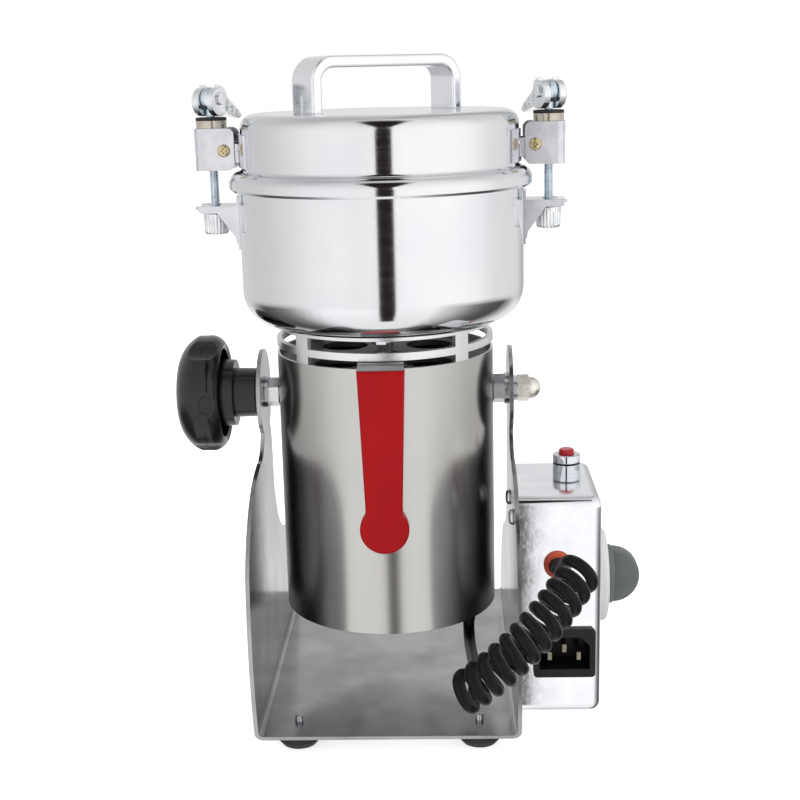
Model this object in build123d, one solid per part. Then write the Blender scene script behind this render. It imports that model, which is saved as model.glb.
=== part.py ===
"""A tilting high-speed grain mill: a lidded steel bowl on a motor can, hung between two sheet arms.

The model is built around the machine's own upright axis (x = y = 0), with the table at z = 0, the
operator at -Y and the switch box at +X. At the end every piece is moved so that the part's origin
is the middle of its footprint.
"""

from build123d import *

import os
from math import asin, ceil, cos, degrees, pi, radians, sin, sqrt, tan

os.makedirs("parts", exist_ok=True)

# Clearances
RUNNING_GAP = 0.05
LOOSE_GAP = 0.1
FREE_GAP = 0.35

# Stand: one bent sheet with a wide rounded front edge and a slim rear edge
SHEET = 2.0
FOOT_HEIGHT = 9.0
ARM_INNER = 61.6
ARM_OUTER = ARM_INNER + SHEET
BEND_RADIUS = 3.0
BASE_FRONT = 82.0
BASE_REAR = 107.0
ARM_FRONT = 89.5
PIVOT_Z = 161.0
ARM_HEAD_RADIUS = 22.0
ARM_NECK = 11.5
PLATE_TOP = FOOT_HEIGHT + SHEET
ARM_HEAD_BASE = PIVOT_Z - sqrt(ARM_HEAD_RADIUS**2 - ARM_NECK**2)

# Rubber feet and the pan-head screws of the stand
FOOT_X = 44.0
FOOT_FRONT = 65.0
FOOT_REAR = 90.0
FOOT_RADIUS = 12.0
FOOT_SOLE = 8.5
SCREW_RADIUS = 2.0
PAN_RADIUS = 3.9
PAN_HEIGHT = 2.2
FOOT_SCREW_RISE = 6.0

# Pivot hardware
BOLT_RADIUS = 4.0
HEX_AF = 13.0
INNER_NUT = 5.4
WASHER_RADIUS = 8.0
SPRING_WASHER = 2.5
ACORN_LENGTH = 12.0

# Clamp hand wheel
WHEEL_RADIUS = 29.3
WHEEL_DEPTH = 23.0
WHEEL_LOBES = 6
WHEEL_REACH = 39.0
COLLAR_RADIUS = 16.8
NECK_RADIUS = 12.6
FRICTION_WASHER = 2.0

# Motor can and vent ring
CAN_RADIUS = 54.2
CAN_WALL = 1.2
CAN_BOTTOM = 51.0
CAN_TOP = 183.4
RING_WALL = 2.5
RING_SLOT = 3.8
RING_BAND = 3.7
RING_FLANGE = 1.5
RING_HEIGHT = 14.6
POST_WIDTH = 8.5
BOWL_BOTTOM = CAN_TOP + RING_HEIGHT

# Bowl and lid
BOWL_RADIUS = 69.8
BOWL_WALL = 1.5
BOWL_CORNER = 17.0
BOWL_TOP = BOWL_BOTTOM + 71.5
RIM_RADIUS = BOWL_RADIUS + 4.2
RIM_BOTTOM = BOWL_TOP - 5.5
RIM_TOP = BOWL_TOP + 3.5
LID_RADIUS = BOWL_RADIUS - 2.2
LID_WALL = 1.2
LID_TOP = BOWL_TOP + 30.5
LID_CORNER = 7.0
SEAL_HEIGHT = 2.0

# Lid handle: a bent strap
HANDLE_SPAN = 85.0
HANDLE_WIDTH = 20.0
HANDLE_STRAP = 5.5
HANDLE_RISE = 26.3
HANDLE_BEND = 12.0
HANDLE_TURN = 35.0
HEX_SCREW_RADIUS = 2.5
HEX_SCREW_AF = 8.0
HEX_SCREW_HEAD = 3.5

# Red grip and its strap on the front of the can
STRAP_WIDTH = 21.5
STRAP = 1.5
GRIP_WIDTH = 22.5
GRIP_WAIST = 17.8
GRIP_THICK = 5.5
GRIP_DISC = 11.8
GRIP_DISC_Z = 106.0
GRIP_GAP = 1.0

# Motor
SHAFT_RADIUS = 4.0
BEARING_RADIUS = 11.0
BEARING_WIDTH = 7.0
LOWER_BEARING_Z = 62.0
UPPER_BEARING_Z = CAN_TOP - 12.4
PLATE = 3.0
STATOR_RADIUS = 42.0
STATOR_BORE = 22.5
STATOR_LOW = 108.0
STATOR_STACK = 42.0
AIR_GAP = 0.4
ROTOR_SLOTS = 12
COMMUTATOR_RADIUS = 11.0
COMMUTATOR_Z = 82.0
COMMUTATOR_LENGTH = 16.0
FAN_RADIUS = 38.0
FAN_Z = UPPER_BEARING_Z - 13.0
FAN_HEIGHT = 11.0
FAN_BLADES = 8

# Blades in the bowl
BLADE_LENGTH = 108.0
BLADE_WIDTH = 20.0
BLADE = 2.5
BLADE_TIP = 14.0
LOWER_BLADE_Z = BOWL_BOTTOM + 13.0
UPPER_BLADE_Z = LOWER_BLADE_Z + 17.0
HUB_RADIUS = 8.0

# Switch box on the right arm
BOX_WIDTH = 40.0
BOX_FRONT = 57.0
BOX_DEPTH = 65.0
BOX_BOTTOM = 9.5
BOX_TOP = 120.0
BOX_WALL = 1.5
BOX_CORNER = 5.0
BOX_RIGHT = ARM_OUTER + BOX_WIDTH

# Mains inlet, a 10 A appliance inlet with three flat pins
INLET_X = 85.7
INLET_Z = 42.0
INLET_BEZEL_X = 30.0
INLET_BEZEL_Z = 25.0
INLET_BEZEL = 2.0
INLET_BODY_X = 27.0
INLET_BODY_Z = 20.0
INLET_CAVITY_X = 24.4
INLET_CAVITY_Z = 16.6
INLET_CAVITY = 15.5
INLET_CHAMFER = 4.5
PIN_SPACING = 14.0
PIN_RISE = 4.0
PIN_WIDTH = 4.0
PIN_THICK = 2.0

# Cord grommet and lead gland
GROMMET_X = 82.3
GROMMET_Z = 87.0
GROMMET_RADIUS = 6.6
GROMMET_PROUD = 2.5
CORD_RADIUS = 2.9

# Timer and reset switch
TIMER_Y = -22.0
TIMER_Z = 69.0
TIMER_BODY = 34.0
TIMER_DEPTH = 18.0
TIMER_BUSH = 4.8
TIMER_SHAFT = 3.0
DIAL_RADIUS = 23.5
DIAL = 5.5
KNOB_RADIUS = 14.8
KNOB_BASE = 3.0
KNOB_LENGTH = 16.5
KNOB_WING = 9.0
RESET_X = 90.5
RESET_Y = -10.0
RESET_RADIUS = 7.0
RESET_HEIGHT = 9.0
RESET_BODY = 18.0
BUTTON_RADIUS = 3.8
BUTTON_PROUD = 2.5

# Toggle latches, drawn for the left side and mirrored to the right
LATCH_PIVOT_X = BOWL_RADIUS + 5.2
LATCH_PIVOT_Z = RIM_TOP + 10.0
LATCH_ROD_X = LATCH_PIVOT_X + 7.0
LATCH_ROD_RADIUS = 2.35
LATCH_SCREW = 1.8
BLOCK_OUT = LATCH_PIVOT_X + 14.4
BLOCK_IN = LATCH_PIVOT_X - 5.0
BLOCK_HALF = 10.2
BLOCK_WALL = 1.4
BLOCK_BOTTOM = RIM_TOP + 0.5
BLOCK_TOP = BLOCK_BOTTOM + 20.1
HINGE_PLATE = 1.2
HINGE_WING = 27.0
HINGE_LOW = LATCH_PIVOT_Z - 7.8
HINGE_HIGH = LATCH_PIVOT_Z + 7.8
EAR_GAP = 0.3
EAR = 1.2
COLLAR_HEIGHT = 4.2
COLLAR_OUT = 7.4
BUFFER_HEIGHT = 0.8
EYE_RADIUS = 5.5
EYE_THICK = 4.8
LEVER_CAM = 6.75
LEVER_THROW = 1.5
LEVER_GAP = 0.65
LEVER_CHEEK = 3.4
EYE_Z = BLOCK_TOP + COLLAR_HEIGHT + BUFFER_HEIGHT + LEVER_GAP + LEVER_CAM + LEVER_THROW
LEVER_LENGTH = 24.5
LEVER_SLOPE = 21.0
LEVER_TURN = 64.0
LEVER_PIN = 2.0
LEVER_HOLES = [(11.0, 2.2), (16.5, 1.8), (21.0, 1.3)]
NUT_RADIUS = 6.2
NUT_HEIGHT = 11.0
NUT_DOME = 1.0
NUT_DROP = 1.7
FORK_TOP = BOWL_TOP - 13.1
FORK_PLATE = 1.5
FORK_HALF = 9.5
FORK_LIP = 2.0
FORK_MOUTH = 12.0
FORK_TIP = 15.6
FORK_ROOT = FORK_TOP - 18.4
FORK_SLOT = 2.75

# Curly cord and plain lead: the curls wind round a smooth curve that hangs in front of the stand
CURL_RADIUS = 7.5
CURL_TURNS = 11.5
CURL_GUIDE = [(91.2, -80.0, 92.8), (77.5, -97.0, 77.5), (59.0, -109.0, 60.5), (35.8, -104.5, 43.0)]
LEAD_ROUTE = [
    (42.0, -84.0, 42.6),
    (41.7, -62.0, 38.6),
    (40.7, -40.0, 36.2),
    (40.2, -29.0, 36.8),
    (40.0, -20.6, 42.0),
]
GLAND_X = 40.0
GLAND_Y = -20.0
GLAND_DROP = 3.0
GLAND_RADIUS = 6.0

parts = {}


def cylinder(radius, low, high):
    """An upright cylinder between two heights, on the machine's axis."""
    return Pos(0, 0, low) * Cylinder(radius, high - low, align=(Align.CENTER, Align.CENTER, Align.MIN))


def tube(outer, inner, low, high):
    """An upright tube between two heights."""
    return cylinder(outer, low, high) - cylinder(inner, low - 1, high + 1)


def along_x(shape, x, y=0.0, z=PIVOT_Z):
    """Turns a shape drawn upright so that its +Z points along +X, and sets it at a place."""
    return Pos(x, y, z) * Rot(0, 90, 0) * shape


def x_rod(radius, x_low, x_high, y=0.0, z=PIVOT_Z):
    """A cylinder along X between two x positions."""
    return along_x(cylinder(radius, 0, x_high - x_low), x_low, y, z)


def y_rod(radius, x, z, y_low, y_high):
    """A cylinder along Y between two y positions."""
    return Pos(x, y_high, z) * Rot(90, 0, 0) * cylinder(radius, 0, y_high - y_low)


def hexagon(across_flats, height):
    """An upright hexagonal prism on z = 0."""
    return extrude(RegularPolygon(across_flats / 2, 6, major_radius=False), height)


def block(x_low, x_high, y_low, y_high, z_low, z_high):
    """A plain box given by its six faces."""
    centre = ((x_low + x_high) / 2, (y_low + y_high) / 2, (z_low + z_high) / 2)
    return Pos(*centre) * Box(x_high - x_low, y_high - y_low, z_high - z_low)


def turned(points):
    """Revolves a closed outline of (radius, height) points round the machine's axis."""
    return revolve(Plane.XZ * make_face(Polyline(*points, close=True)), Axis.Z)


def pan_screw(length):
    """A pan-head screw standing head down on z = 0, with its thread pointing up."""
    head = fillet(cylinder(PAN_RADIUS, 0, PAN_HEIGHT).edges().group_by(Axis.Z)[0], PAN_HEIGHT * 0.6)
    return head + cylinder(SCREW_RADIUS, PAN_HEIGHT / 2, PAN_HEIGHT + length)


def stand_bracket():
    """The U-bent sheet: side outline in (y, z) by straight runs and arcs, cut from a bent channel."""
    shoulder_low = (-ARM_FRONT + 2.5, 93.0)
    shoulder_high = (-42.0, 129.5)
    neck_front = (-ARM_NECK, ARM_HEAD_BASE)
    neck_rear = (ARM_NECK, ARM_HEAD_BASE)
    side = [
        ThreePointArc((-BASE_FRONT, FOOT_HEIGHT), (-ARM_FRONT, 58.0), shoulder_low),
        ThreePointArc(shoulder_low, (-70.0, 116.5), shoulder_high),
        Line(shoulder_high, (-30.0, 131.5)),
        ThreePointArc((-30.0, 131.5), (-17.5, 134.8), neck_front),
        ThreePointArc(neck_front, (0, PIVOT_Z + ARM_HEAD_RADIUS), neck_rear),
        ThreePointArc(neck_rear, (14.6, 136.5), (16.2, 130.0)),
        Line((16.2, 130.0), (17.6, 106.0)),
        ThreePointArc((17.6, 106.0), (26.0, 89.5), (50.0, 72.5)),
        ThreePointArc((50.0, 72.5), (BASE_REAR - 14.0, 44.0), (BASE_REAR, FOOT_HEIGHT)),
        Line((BASE_REAR, FOOT_HEIGHT), (-BASE_FRONT, FOOT_HEIGHT)),
    ]
    outline = extrude(Plane.YZ * make_face(side), ARM_OUTER + 1, both=True)
    middle = ARM_INNER + SHEET / 2
    top = PIVOT_Z + ARM_HEAD_RADIUS + 1
    bend = FilletPolyline(
        (-middle, top),
        (-middle, FOOT_HEIGHT + SHEET / 2),
        (middle, FOOT_HEIGHT + SHEET / 2),
        (middle, top),
        radius=BEND_RADIUS,
    )
    channel = extrude(Plane.XZ * trace(bend, SHEET), ARM_FRONT + BASE_REAR, both=True)
    bracket = channel & outline
    bracket -= x_rod(BOLT_RADIUS + RUNNING_GAP, -ARM_OUTER - 1, ARM_OUTER + 1)
    for x, y in foot_places():
        bracket -= Pos(x, y, 0) * cylinder(SCREW_RADIUS + LOOSE_GAP, FOOT_HEIGHT - 1, PLATE_TOP + 1)
    for y, z in box_screw_places():
        bracket -= x_rod(SCREW_RADIUS + LOOSE_GAP, ARM_INNER - 1, ARM_OUTER + 1, y, z)
    return bracket


def foot_places():
    """The four foot centres."""
    return [(x, y) for x in (-FOOT_X, FOOT_X) for y in (-FOOT_FRONT, FOOT_REAR)]


def box_screw_places():
    """Where three screws hold the switch box to the right arm, as (y, z)."""
    front = -BOX_FRONT + BOX_CORNER + PAN_RADIUS + 1
    return [(front, BOX_TOP - 12.0), (front, BOX_BOTTOM + 14.0), (-15.0, BOX_TOP - 12.0)]


def rubber_feet():
    """Four domed rubber feet, each recessed for its screw head."""
    outline = [
        (0, 0),
        (FOOT_SOLE, 0),
        (FOOT_RADIUS - 1, 3.2),
        (FOOT_RADIUS, FOOT_HEIGHT - 1.5),
        (FOOT_RADIUS - 0.6, FOOT_HEIGHT),
        (0, FOOT_HEIGHT),
    ]
    foot = turned(outline)
    foot -= cylinder(PAN_RADIUS + LOOSE_GAP, -1, 1.2 + PAN_HEIGHT)
    foot -= cylinder(SCREW_RADIUS + LOOSE_GAP, 0, FOOT_HEIGHT + 1)
    return [Pos(x, y, 0) * foot for x, y in foot_places()]


def stand_screws():
    """The pan-head screws: four through the feet and three through the right arm into the box."""
    foot_screw = Pos(0, 0, 1.2) * pan_screw(FOOT_HEIGHT - 1.2 - PAN_HEIGHT + SHEET + FOOT_SCREW_RISE)
    box_screw = Rot(0, 90, 0) * pan_screw(SHEET + 5.0)
    screws = [Pos(x, y, 0) * foot_screw for x, y in foot_places()]
    return screws + [Pos(ARM_INNER - PAN_HEIGHT, y, z) * box_screw for y, z in box_screw_places()]


def switch_box():
    """A drawn steel cover, open on the side that the arm closes, with screw bosses inside."""
    outer = block(ARM_OUTER, BOX_RIGHT, -BOX_FRONT, BOX_DEPTH - BOX_FRONT, BOX_BOTTOM, BOX_TOP)
    outer = fillet(outer.edges().filter_by(lambda e: e.center().X > ARM_OUTER + 1), BOX_CORNER)
    inner = block(
        ARM_OUTER - 1,
        BOX_RIGHT - BOX_WALL,
        -BOX_FRONT + BOX_WALL,
        BOX_DEPTH - BOX_FRONT - BOX_WALL,
        BOX_BOTTOM + BOX_WALL,
        BOX_TOP - BOX_WALL,
    )
    inner = fillet(inner.edges().filter_by(lambda e: e.center().X > ARM_OUTER), BOX_CORNER - BOX_WALL)
    cover = outer - inner
    for y, z in box_screw_places():
        boss = x_rod(SCREW_RADIUS + 2.2, ARM_OUTER, ARM_OUTER + 9.0, y, z)
        web = block(ARM_OUTER, ARM_OUTER + 9.0, y - 1.2, y + 1.2, z, BOX_TOP - BOX_WALL / 2)
        if z < (BOX_TOP + BOX_BOTTOM) / 2:
            web = block(ARM_OUTER, ARM_OUTER + 9.0, y - 1.2, y + 1.2, BOX_BOTTOM + BOX_WALL / 2, z)
        cover += (boss + web) & outer
        cover -= x_rod(SCREW_RADIUS + LOOSE_GAP, ARM_OUTER - 1, ARM_OUTER + 7.5, y, z)
    cover -= block(
        INLET_X - INLET_BODY_X / 2 - LOOSE_GAP,
        INLET_X + INLET_BODY_X / 2 + LOOSE_GAP,
        -BOX_FRONT - 1,
        -BOX_FRONT + BOX_WALL + 1,
        INLET_Z - INLET_BODY_Z / 2 - LOOSE_GAP,
        INLET_Z + INLET_BODY_Z / 2 + LOOSE_GAP,
    )
    cover -= y_rod(GROMMET_RADIUS - 1.4, GROMMET_X, GROMMET_Z, -BOX_FRONT - 1, -BOX_FRONT + BOX_WALL + 1)
    cover -= x_rod(TIMER_BUSH + LOOSE_GAP, BOX_RIGHT - BOX_WALL - 1, BOX_RIGHT + 1, TIMER_Y, TIMER_Z)
    sleeve = RESET_RADIUS - 1.5
    cover -= Pos(RESET_X, RESET_Y, 0) * cylinder(sleeve + LOOSE_GAP, BOX_TOP - BOX_WALL - 1, BOX_TOP + 1)
    return cover


def power_inlet():
    """The inlet: a bezel on the cover's face and a body behind it, with a chamfered socket."""
    bezel = block(
        INLET_X - INLET_BEZEL_X / 2,
        INLET_X + INLET_BEZEL_X / 2,
        -BOX_FRONT - INLET_BEZEL,
        -BOX_FRONT,
        INLET_Z - INLET_BEZEL_Z / 2,
        INLET_Z + INLET_BEZEL_Z / 2,
    )
    bezel = fillet(bezel.edges().filter_by(Axis.Y), 2.0)
    depth = INLET_CAVITY + 2.0 - INLET_BEZEL
    body = block(
        INLET_X - INLET_BODY_X / 2,
        INLET_X + INLET_BODY_X / 2,
        -BOX_FRONT,
        -BOX_FRONT + depth,
        INLET_Z - INLET_BODY_Z / 2,
        INLET_Z + INLET_BODY_Z / 2,
    )
    half_x = INLET_CAVITY_X / 2
    half_z = INLET_CAVITY_Z / 2
    mouth = make_face(
        Polyline(
            (-half_x, -half_z),
            (half_x, -half_z),
            (half_x, half_z - INLET_CHAMFER),
            (half_x - INLET_CHAMFER, half_z),
            (-half_x + INLET_CHAMFER, half_z),
            (-half_x, half_z - INLET_CHAMFER),
            close=True,
        )
    )
    plane = Plane((INLET_X, -BOX_FRONT - INLET_BEZEL, INLET_Z), x_dir=(1, 0, 0), z_dir=(0, -1, 0))
    socket = extrude(plane * mouth, -INLET_CAVITY)
    return bezel + body - socket - pin_blades()


def pin_blades():
    """Three upright blades, live and neutral below and earth above, standing out behind as tags."""
    tip = -BOX_FRONT - INLET_BEZEL + 1.5
    tail = -BOX_FRONT + INLET_CAVITY + 8.0
    low = INLET_Z - PIN_RISE / 2
    places = [(INLET_X - PIN_SPACING / 2, low), (INLET_X + PIN_SPACING / 2, low), (INLET_X, low + PIN_RISE)]
    half_x = PIN_THICK / 2
    half_z = PIN_WIDTH / 2
    return [block(x - half_x, x + half_x, tip, tail, z - half_z, z + half_z) for x, z in places]


def cord_grommet():
    """A soft ring with a groove that grips the edge of the cover's hole."""
    neck = GROMMET_RADIUS - 1.5
    front = y_rod(GROMMET_RADIUS, GROMMET_X, GROMMET_Z, -BOX_FRONT - GROMMET_PROUD, -BOX_FRONT)
    front = fillet(front.edges().group_by(Axis.Y)[0], 1.2)
    ring = front + y_rod(neck, GROMMET_X, GROMMET_Z, -BOX_FRONT - 0.1, -BOX_FRONT + BOX_WALL + 0.1)
    back = y_rod(GROMMET_RADIUS, GROMMET_X, GROMMET_Z, -BOX_FRONT + BOX_WALL, -BOX_FRONT + BOX_WALL + 2)
    return ring + back - y_rod(CORD_RADIUS + LOOSE_GAP, GROMMET_X, GROMMET_Z, -BOX_FRONT - 5, -BOX_FRONT + 5)


def timer_unit():
    """The clockwork timer: a square case behind the cover's side and a bush through it."""
    wall = BOX_RIGHT - BOX_WALL
    half = TIMER_BODY / 2
    case = block(wall - TIMER_DEPTH, wall, TIMER_Y - half, TIMER_Y + half, TIMER_Z - half, TIMER_Z + half)
    case = fillet(case.edges().filter_by(Axis.X), 3.0)
    bush = x_rod(TIMER_BUSH, wall - 1, BOX_RIGHT + DIAL - 1.0, TIMER_Y, TIMER_Z)
    bore = x_rod(TIMER_SHAFT + RUNNING_GAP, wall - TIMER_DEPTH + 4, BOX_RIGHT + DIAL + 1, TIMER_Y, TIMER_Z)
    return case + bush - bore


def timer_dial():
    """The round dial plate between the cover and the knob."""
    dial = x_rod(DIAL_RADIUS, BOX_RIGHT, BOX_RIGHT + DIAL, TIMER_Y, TIMER_Z)
    dial = fillet(dial.edges().group_by(Axis.X)[-1], 2.5)
    return dial - x_rod(TIMER_BUSH + LOOSE_GAP, BOX_RIGHT - 1, BOX_RIGHT + DIAL + 1, TIMER_Y, TIMER_Z)


def timer_knob():
    """A round base with a tapering wing that the fingers turn."""
    foot = BOX_RIGHT + DIAL + FREE_GAP
    end = foot + KNOB_LENGTH
    base = x_rod(KNOB_RADIUS, foot, foot + KNOB_BASE, TIMER_Y, TIMER_Z)
    base = fillet(base.edges().group_by(Axis.X)[-1], 1.0)
    side = [
        Line((foot, KNOB_RADIUS - 1), (foot + KNOB_BASE + 1, KNOB_RADIUS - 1)),
        ThreePointArc((foot + KNOB_BASE + 1, KNOB_RADIUS - 1), (end - 2.0, 7.5), (end, 0)),
        ThreePointArc((end, 0), (end - 2.0, -7.5), (foot + KNOB_BASE + 1, 1 - KNOB_RADIUS)),
        Line((foot + KNOB_BASE + 1, 1 - KNOB_RADIUS), (foot, 1 - KNOB_RADIUS)),
        Line((foot, 1 - KNOB_RADIUS), (foot, KNOB_RADIUS - 1)),
    ]
    wing = Pos(0, TIMER_Y, TIMER_Z) * extrude(Plane.XZ * make_face(side), KNOB_WING / 2, both=True)
    wing = fillet(wing.edges().filter_by(lambda e: e.center().X > foot + KNOB_BASE + 1), KNOB_WING / 6)
    knob = base + wing
    return knob - x_rod(TIMER_SHAFT + LOOSE_GAP, foot - 1, end - 4.0, TIMER_Y, TIMER_Z)


def timer_shaft():
    """The timer's spindle, from inside the case to the knob."""
    start = BOX_RIGHT - BOX_WALL - TIMER_DEPTH + 4.5
    return x_rod(TIMER_SHAFT, start, BOX_RIGHT + DIAL + FREE_GAP + KNOB_LENGTH - 4.2, TIMER_Y, TIMER_Z)


def reset_switch():
    """The overload switch: a bezel on the cover, a sleeve through it and a body under it."""
    bezel = cylinder(RESET_RADIUS, BOX_TOP, BOX_TOP + RESET_HEIGHT)
    bezel = fillet(bezel.edges().group_by(Axis.Z)[-1], 0.8)
    sleeve = cylinder(RESET_RADIUS - 1.5, BOX_TOP - BOX_WALL - 0.1, BOX_TOP + 0.1)
    body = cylinder(RESET_RADIUS + 1.0, BOX_TOP - BOX_WALL - RESET_BODY, BOX_TOP - BOX_WALL)
    bore = cylinder(BUTTON_RADIUS + LOOSE_GAP, BOX_TOP - BOX_WALL - 3.0, BOX_TOP + RESET_HEIGHT + 1)
    return Pos(RESET_X, RESET_Y, 0) * (bezel + sleeve + body - bore)


def reset_button():
    """The sprung red plunger in the reset switch."""
    top = BOX_TOP + RESET_HEIGHT + BUTTON_PROUD
    plunger = cylinder(BUTTON_RADIUS, BOX_TOP - BOX_WALL - 3.0 + BUTTON_PROUD + FREE_GAP, top)
    plunger = fillet(plunger.edges().group_by(Axis.Z)[-1], 0.9)
    return Pos(RESET_X, RESET_Y, 0) * plunger


def pivot_bolts():
    """Two bolts with their heads inside the can: the left carries the wheel, the right the cap nut."""
    inside = CAN_RADIUS - CAN_WALL - LOOSE_GAP
    head = sqrt(inside**2 - (HEX_AF / 2) ** 2)
    left, right = (
        along_x(Pos(0, 0, head - 5.0) * hexagon(HEX_AF, 5.0) + cylinder(BOLT_RADIUS, head - 1, reach), 0)
        for reach in (wheel_face() + WHEEL_REACH - 14.0, acorn_face() + 7.0)
    )
    return [mirror(left, Plane.YZ), right]


def acorn_face():
    """Where the cap nut's flat face seats, outside the right arm and its washers."""
    return ARM_OUTER + RUNNING_GAP + SPRING_WASHER


def pivot_nuts():
    """The hex nuts that lock both bolts to the can."""
    start = CAN_RADIUS + LOOSE_GAP
    nut = hexagon(HEX_AF, INNER_NUT) - cylinder(BOLT_RADIUS, -1, INNER_NUT + 1)
    right = along_x(nut, start)
    return [right, mirror(right, Plane.YZ)]


def pivot_washers():
    """Washers between the inner nuts and the arms, and the spring washer under the cap nut."""
    start = CAN_RADIUS + LOOSE_GAP + INNER_NUT
    gap = ARM_INNER - RUNNING_GAP - start
    inner = along_x(tube(WASHER_RADIUS, BOLT_RADIUS + LOOSE_GAP, 0, gap), start)
    spring = along_x(tube(6.4, BOLT_RADIUS + LOOSE_GAP, 0, SPRING_WASHER), ARM_OUTER + RUNNING_GAP)
    return [inner, mirror(inner, Plane.YZ), spring]


def acorn_nut():
    """The domed cap nut on the right pivot bolt."""
    skirt = 6.0
    dome = Pos(0, 0, ACORN_LENGTH - 5.6) * Sphere(5.6)
    nut = hexagon(HEX_AF - 1, skirt) + cylinder(5.6, skirt - 1, ACORN_LENGTH - 5.6) + dome
    nut -= cylinder(BOLT_RADIUS, -1, 7.2)
    return along_x(nut, acorn_face())


def hand_wheel():
    """The lobed clamp wheel: a domed face, a hollow back, a stepped collar and a long neck."""
    outer = WHEEL_REACH
    back = outer - WHEEL_DEPTH
    rim = WHEEL_RADIUS
    outline = [
        Line((0, outer), (11.0, outer)),
        ThreePointArc((11.0, outer), (22.5, outer - 2.8), (rim, outer - 10.5)),
        Line((rim, outer - 10.5), (rim, back + 8.0)),
        ThreePointArc((rim, back + 8.0), (rim - 1.2, back + 2.6), (rim - 4.5, back)),
        Line((rim - 4.5, back), (rim - 7.0, back + 1.0)),
        ThreePointArc((rim - 7.0, back + 1.0), (20.5, back + 12.0), (COLLAR_RADIUS + 0.6, back + 4.0)),
        Line((COLLAR_RADIUS + 0.6, back + 4.0), (COLLAR_RADIUS, back - 5.3)),
        Line((COLLAR_RADIUS, back - 5.3), (NECK_RADIUS, back - 5.3)),
        Line((NECK_RADIUS, back - 5.3), (NECK_RADIUS - 0.3, 0)),
        Line((NECK_RADIUS - 0.3, 0), (0, 0)),
        Line((0, 0), (0, outer)),
    ]
    wheel = revolve(Plane.XZ * make_face(outline), Axis.Z)
    for lobe in range(WHEEL_LOBES):
        scallop = Pos(rim + 18.0, 0, 0) * cylinder(20.0, back - 1, outer + 1)
        wheel -= Rot(0, 0, 360 / WHEEL_LOBES * (lobe + 0.5)) * scallop
    wheel -= cylinder(BOLT_RADIUS + RUNNING_GAP, -1, outer - 12.0)
    return Pos(-wheel_face(), 0, PIVOT_Z) * Rot(0, -90, 0) * wheel


def wheel_face():
    """Distance from the axis to the wheel's neck face."""
    return ARM_OUTER + RUNNING_GAP + FRICTION_WASHER


def clamp_washer():
    """The plastic washer that the wheel presses on the left arm."""
    ring = tube(NECK_RADIUS - 0.6, BOLT_RADIUS + RUNNING_GAP, 0, FRICTION_WASHER)
    return Pos(-ARM_OUTER - RUNNING_GAP, 0, PIVOT_Z) * Rot(0, -90, 0) * ring


def motor_can():
    """The brushed tube round the motor, with the two bolt holes."""
    can = tube(CAN_RADIUS, CAN_RADIUS - CAN_WALL, CAN_BOTTOM, CAN_TOP)
    return can - x_rod(BOLT_RADIUS, -CAN_RADIUS - 1, CAN_RADIUS + 1)


def can_base():
    """The cap in the can's lower end, with cooling slots and the lead's hole."""
    radius = CAN_RADIUS - CAN_WALL
    cap = cylinder(radius, CAN_BOTTOM + 1.0, CAN_BOTTOM + 3.0)
    cap += tube(radius, radius - 2, CAN_BOTTOM + 2, CAN_BOTTOM + 9)
    slot = SlotOverall(16.0, 3.5)
    for step in range(6):
        place = Rot(0, 0, 60 * step + 5) * Pos(0, 24.0, CAN_BOTTOM)
        cap -= place * extrude(slot, 5)
    return cap - Pos(GLAND_X, GLAND_Y, 0) * cylinder(GLAND_RADIUS - 1.5, CAN_BOTTOM, CAN_BOTTOM + 4)


def lead_gland():
    """The rubber bush that the motor's lead leaves by."""
    low = CAN_BOTTOM + 1.0 - GLAND_DROP
    bush = cylinder(GLAND_RADIUS, low, CAN_BOTTOM + 1.0)
    bush += cylinder(GLAND_RADIUS - 1.5, low + 1, CAN_BOTTOM + 3)
    bush += cylinder(GLAND_RADIUS, CAN_BOTTOM + 3.0, CAN_BOTTOM + 5.0)
    return Pos(GLAND_X, GLAND_Y, 0) * (bush - cylinder(CORD_RADIUS + LOOSE_GAP, low - 1, CAN_BOTTOM + 6))


def vent_ring():
    """The open ring under the bowl: four posts, a band, and a flange that carries the bowl."""
    inner = CAN_RADIUS - RING_WALL
    ring = tube(CAN_RADIUS, inner, CAN_TOP, BOWL_BOTTOM)
    ring += tube(CAN_RADIUS, SHAFT_RADIUS + 14.0, BOWL_BOTTOM - RING_FLANGE, BOWL_BOTTOM)
    slot_top = CAN_TOP + RING_SLOT
    window_low = slot_top + RING_BAND
    half_angle = 45.0 - degrees(asin(POST_WIDTH / 2 / CAN_RADIUS))
    reach = CAN_RADIUS + 2
    for step in range(4):
        wedge = Polyline(
            (0, 0),
            (reach * sin(radians(half_angle)), reach * cos(radians(half_angle))),
            (0, reach * 1.6),
            (-reach * sin(radians(half_angle)), reach * cos(radians(half_angle))),
            close=True,
        )
        sector = make_face(wedge) - Circle(inner - 1)
        for low, high in ((CAN_TOP - 1, slot_top), (window_low, BOWL_BOTTOM - RING_FLANGE)):
            ring -= Rot(0, 0, 90 * step) * Pos(0, 0, low) * extrude(sector, high - low)
    for x, y in bowl_bolt_places():
        ring -= Pos(x, y, 0) * cylinder(HEX_SCREW_RADIUS + LOOSE_GAP, BOWL_BOTTOM - 3, BOWL_BOTTOM + 1)
    return ring


def bowl_bolt_places():
    """Four bolts that hold the bowl on the ring's flange, one of them at the front window."""
    radius = 40.0
    return [(radius * cos(radians(a)), radius * sin(radians(a))) for a in (-90, 0, 90, 180)]


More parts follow.
